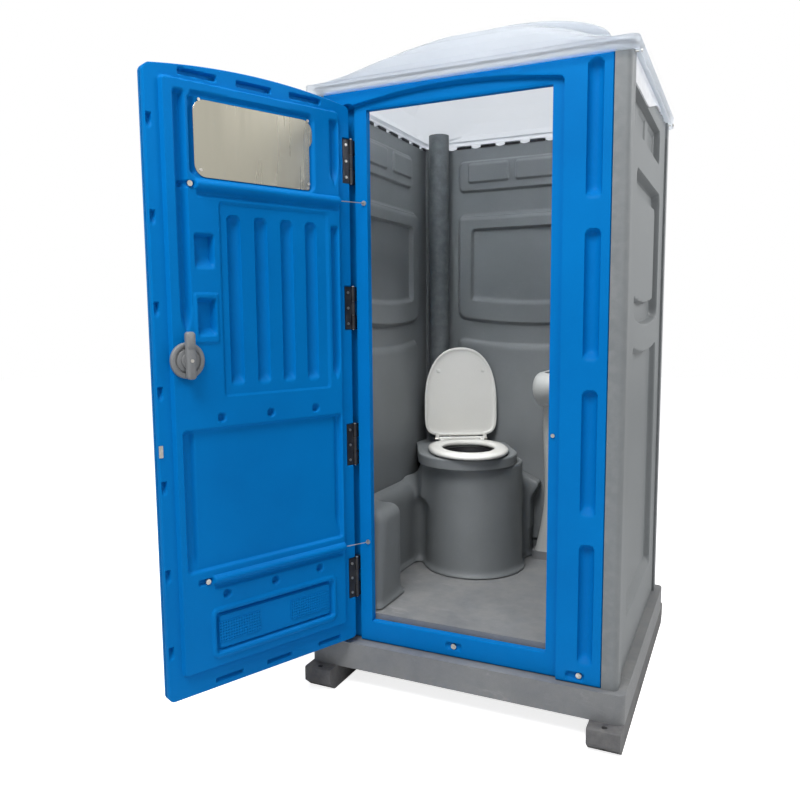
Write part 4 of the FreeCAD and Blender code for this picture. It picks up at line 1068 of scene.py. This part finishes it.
def latch_forms():
    """The latch rose with its ring groove, and the turning bar over it."""
    turns = np.linspace(0, 2 * math.pi, 64, endpoint=False)

    def disc(radius):
        return np.column_stack([LATCH_ALONG + radius * np.cos(turns), LATCH_UP + radius * np.sin(turns)])

    section = [
        (20, 19), (51, 19), (52, 20), (52, 27), (50.5, 29.6), (47.5, 31), (40, 31), (38.5, 30), (37.5, 26.5),
        (34.5, 26.5), (33.5, 29.4), (31, 30.2), (8, 30.2),
    ]
    rose = [(disc(radius), level) for radius, level in section]
    link("latch_rose_form", stacked("latch_rose", rose, on_door), node="latch_rose")

    def slab(half, low, high, radius, levels):
        left, right = LATCH_ALONG - half, LATCH_ALONG + half
        low, high = LATCH_UP + low, LATCH_UP + high
        return [(round_rectangle(left, right, low, high, radius, inset), level) for inset, level in levels]

    bar = slab(13.5, -53, 82, 9, ((1.5, 37), (0, 38.5), (0, 49.5), (1.2, 52.4), (3.6, 54)))
    hub = [(disc(radius), level) for radius, level in ((21, 31.6), (22, 32.6), (22, 37.4), (20, 37.8))]
    cap = slab(12, 34, 80, 8, ((2, 52), (0, 53), (0, 54.6), (1.6, 56)))
    parts = [stacked(name, layers, on_door) for name, layers in (("bar", bar), ("hub", hub), ("cap", cap))]
    link("latch_bar_form", joined("latch_handle", parts), node="latch_handle")


def closer_cord(node, level):
    """An elastic cord, taut from the door's moulded tube to the eye bolt in the jamb."""
    start = Vector(on_door(np.array(61.0), np.array(26.0), np.array(float(level)))) * MM
    end = Vector((-0.334, -0.4852, level * MM))
    along = (end - start).normalized()
    side = along.cross(Vector((0, 0, 1))).normalized()
    over = side.cross(along)
    thickness, turns = 0.003, np.linspace(0, 2 * math.pi, 10, endpoint=False)
    loops = []
    for share in np.linspace(0, 1, 25):
        centre = start.lerp(end, share)
        ring = [centre + (side * math.cos(t) + over * math.sin(t)) * thickness / 2 for t in turns]
        loops.append(np.array(ring) / MM)
    mesh = turned_form(node, loops)
    piece = added(node + "_elastic", mesh)
    mesh.materials.append(FINISH["cord_black"])
    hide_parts(node)
    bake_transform(piece)


# Dressing the frame


door_inner_skin()
door_outer_skin()
for number, (left, right) in enumerate(VENTS, start=1):
    vent_plate("vent_plate_%d" % number, left, right)
mirror_plate()
wall_skin("left", 436, (-424, 270), (-311, -77, 157))
wall_skin("right", 436, (-270, 424), (-157, 77, 311))
wall_skin("rear", 474.5, (-352, 352), (-213, 0, 213))
waste_tank()
seat_ring()
seat_lid()
roof_shell()
front_skin()
latch_forms()
closer_cord("closer_cord_upper", CORD_HIGH)
closer_cord("closer_cord_lower", CORD_LOW)
for width, nodes in (
    (0.010, ("base_pallet",)),
    (0.006, ("skid_left", "skid_right", "skid_centre")),
    (0.002, ("post_front_left", "post_front_right", "post_rear_left", "post_rear_right")),
    (0.006, ("seat_deck",)),
):
    for node in nodes:
        rounded_edges(node, width)
for node, obj in NODES.items():
    if not obj.hide_render:
        obj.data.materials.clear()
        obj.data.materials.append(FINISH["pipe_grey" if node == "vent_pipe" else SLOT_OF[node]])


# Light and stage


def studio():
    """A pale floor, a white surround and soft lamps."""
    world = bpy.data.worlds.new("surround")
    bpy.context.scene.world = world
    world.use_nodes = True
    tree = world.node_tree
    lit, seen = tree.nodes["Background"], tree.nodes.new("ShaderNodeBackground")
    for surround, strength in ((lit, 0.24), (seen, 1.0)):
        settle(surround, {"Color": (1, 1, 1, 1), "Strength": strength})
    rays = tree.nodes.new("ShaderNodeLightPath")
    either = math_node(tree, "MAXIMUM", rays.outputs["Is Camera Ray"], rays.outputs["Is Glossy Ray"])
    either = math_node(tree, "MAXIMUM", either, rays.outputs["Is Transmission Ray"])
    pick = tree.nodes.new("ShaderNodeMixShader")
    for socket, source in zip(pick.inputs, (either, lit.outputs[0], seen.outputs[0])):
        tree.links.new(source, socket)
    tree.links.new(pick.outputs[0], tree.nodes["World Output"].inputs["Surface"])

    mesh = drawn_mesh("floor", [(-14, -14, 0), (14, -14, 0), (14, 14, 0), (-14, 14, 0)], [(0, 1, 2, 3)])
    tree, shader = new_finish("pale_floor")
    settle(shader, {"Base Color": (0.86, 0.86, 0.86, 1), "Roughness": 0.9, "Specular IOR Level": 0.1})
    settle(shader, {"Emission Color": (1, 1, 1, 1)})
    rays = tree.nodes.new("ShaderNodeLightPath")
    glow = product(tree, rays.outputs["Is Camera Ray"], 0.80)
    tree.links.new(glow, shader.inputs["Emission Strength"])
    mesh.materials.append(FINISH["pale_floor"])
    added("floor", mesh)

    for name, spot, aim, size, power in (
        ("key", (-0.3, -3.4, 4.9), (0.0, -0.5, 1.1), 2.0, 205),
        ("fill", (2.6, -3.2, 3.8), (-0.2, -0.6, 1.1), 1.6, 26),
        ("side", (3.4, 1.2, 3.3), (0.5, 0.0, 1.2), 1.1, 84),
        ("sky", (0.0, 0.4, 4.8), (0.0, 0.2, 0.0), 2.4, 34),
        ("doorway", (-0.01, -0.28, 1.74), (-0.2, 0.02, 0.3), 0.34, 2.1),
    ):
        lamp = bpy.data.lights.new(name, "AREA")
        lamp.size = size
        lamp.energy = power
        lamp.spread = math.radians(100 if name == "doorway" else 180)
        holder = added(name, lamp)
        holder.location = spot
        holder.visible_camera = name != "doorway"
        holder.rotation_euler = (Vector(aim) - Vector(spot)).to_track_quat("-Z", "Y").to_euler()


studio()
bpy.context.scene.view_settings.view_transform = "Standard"
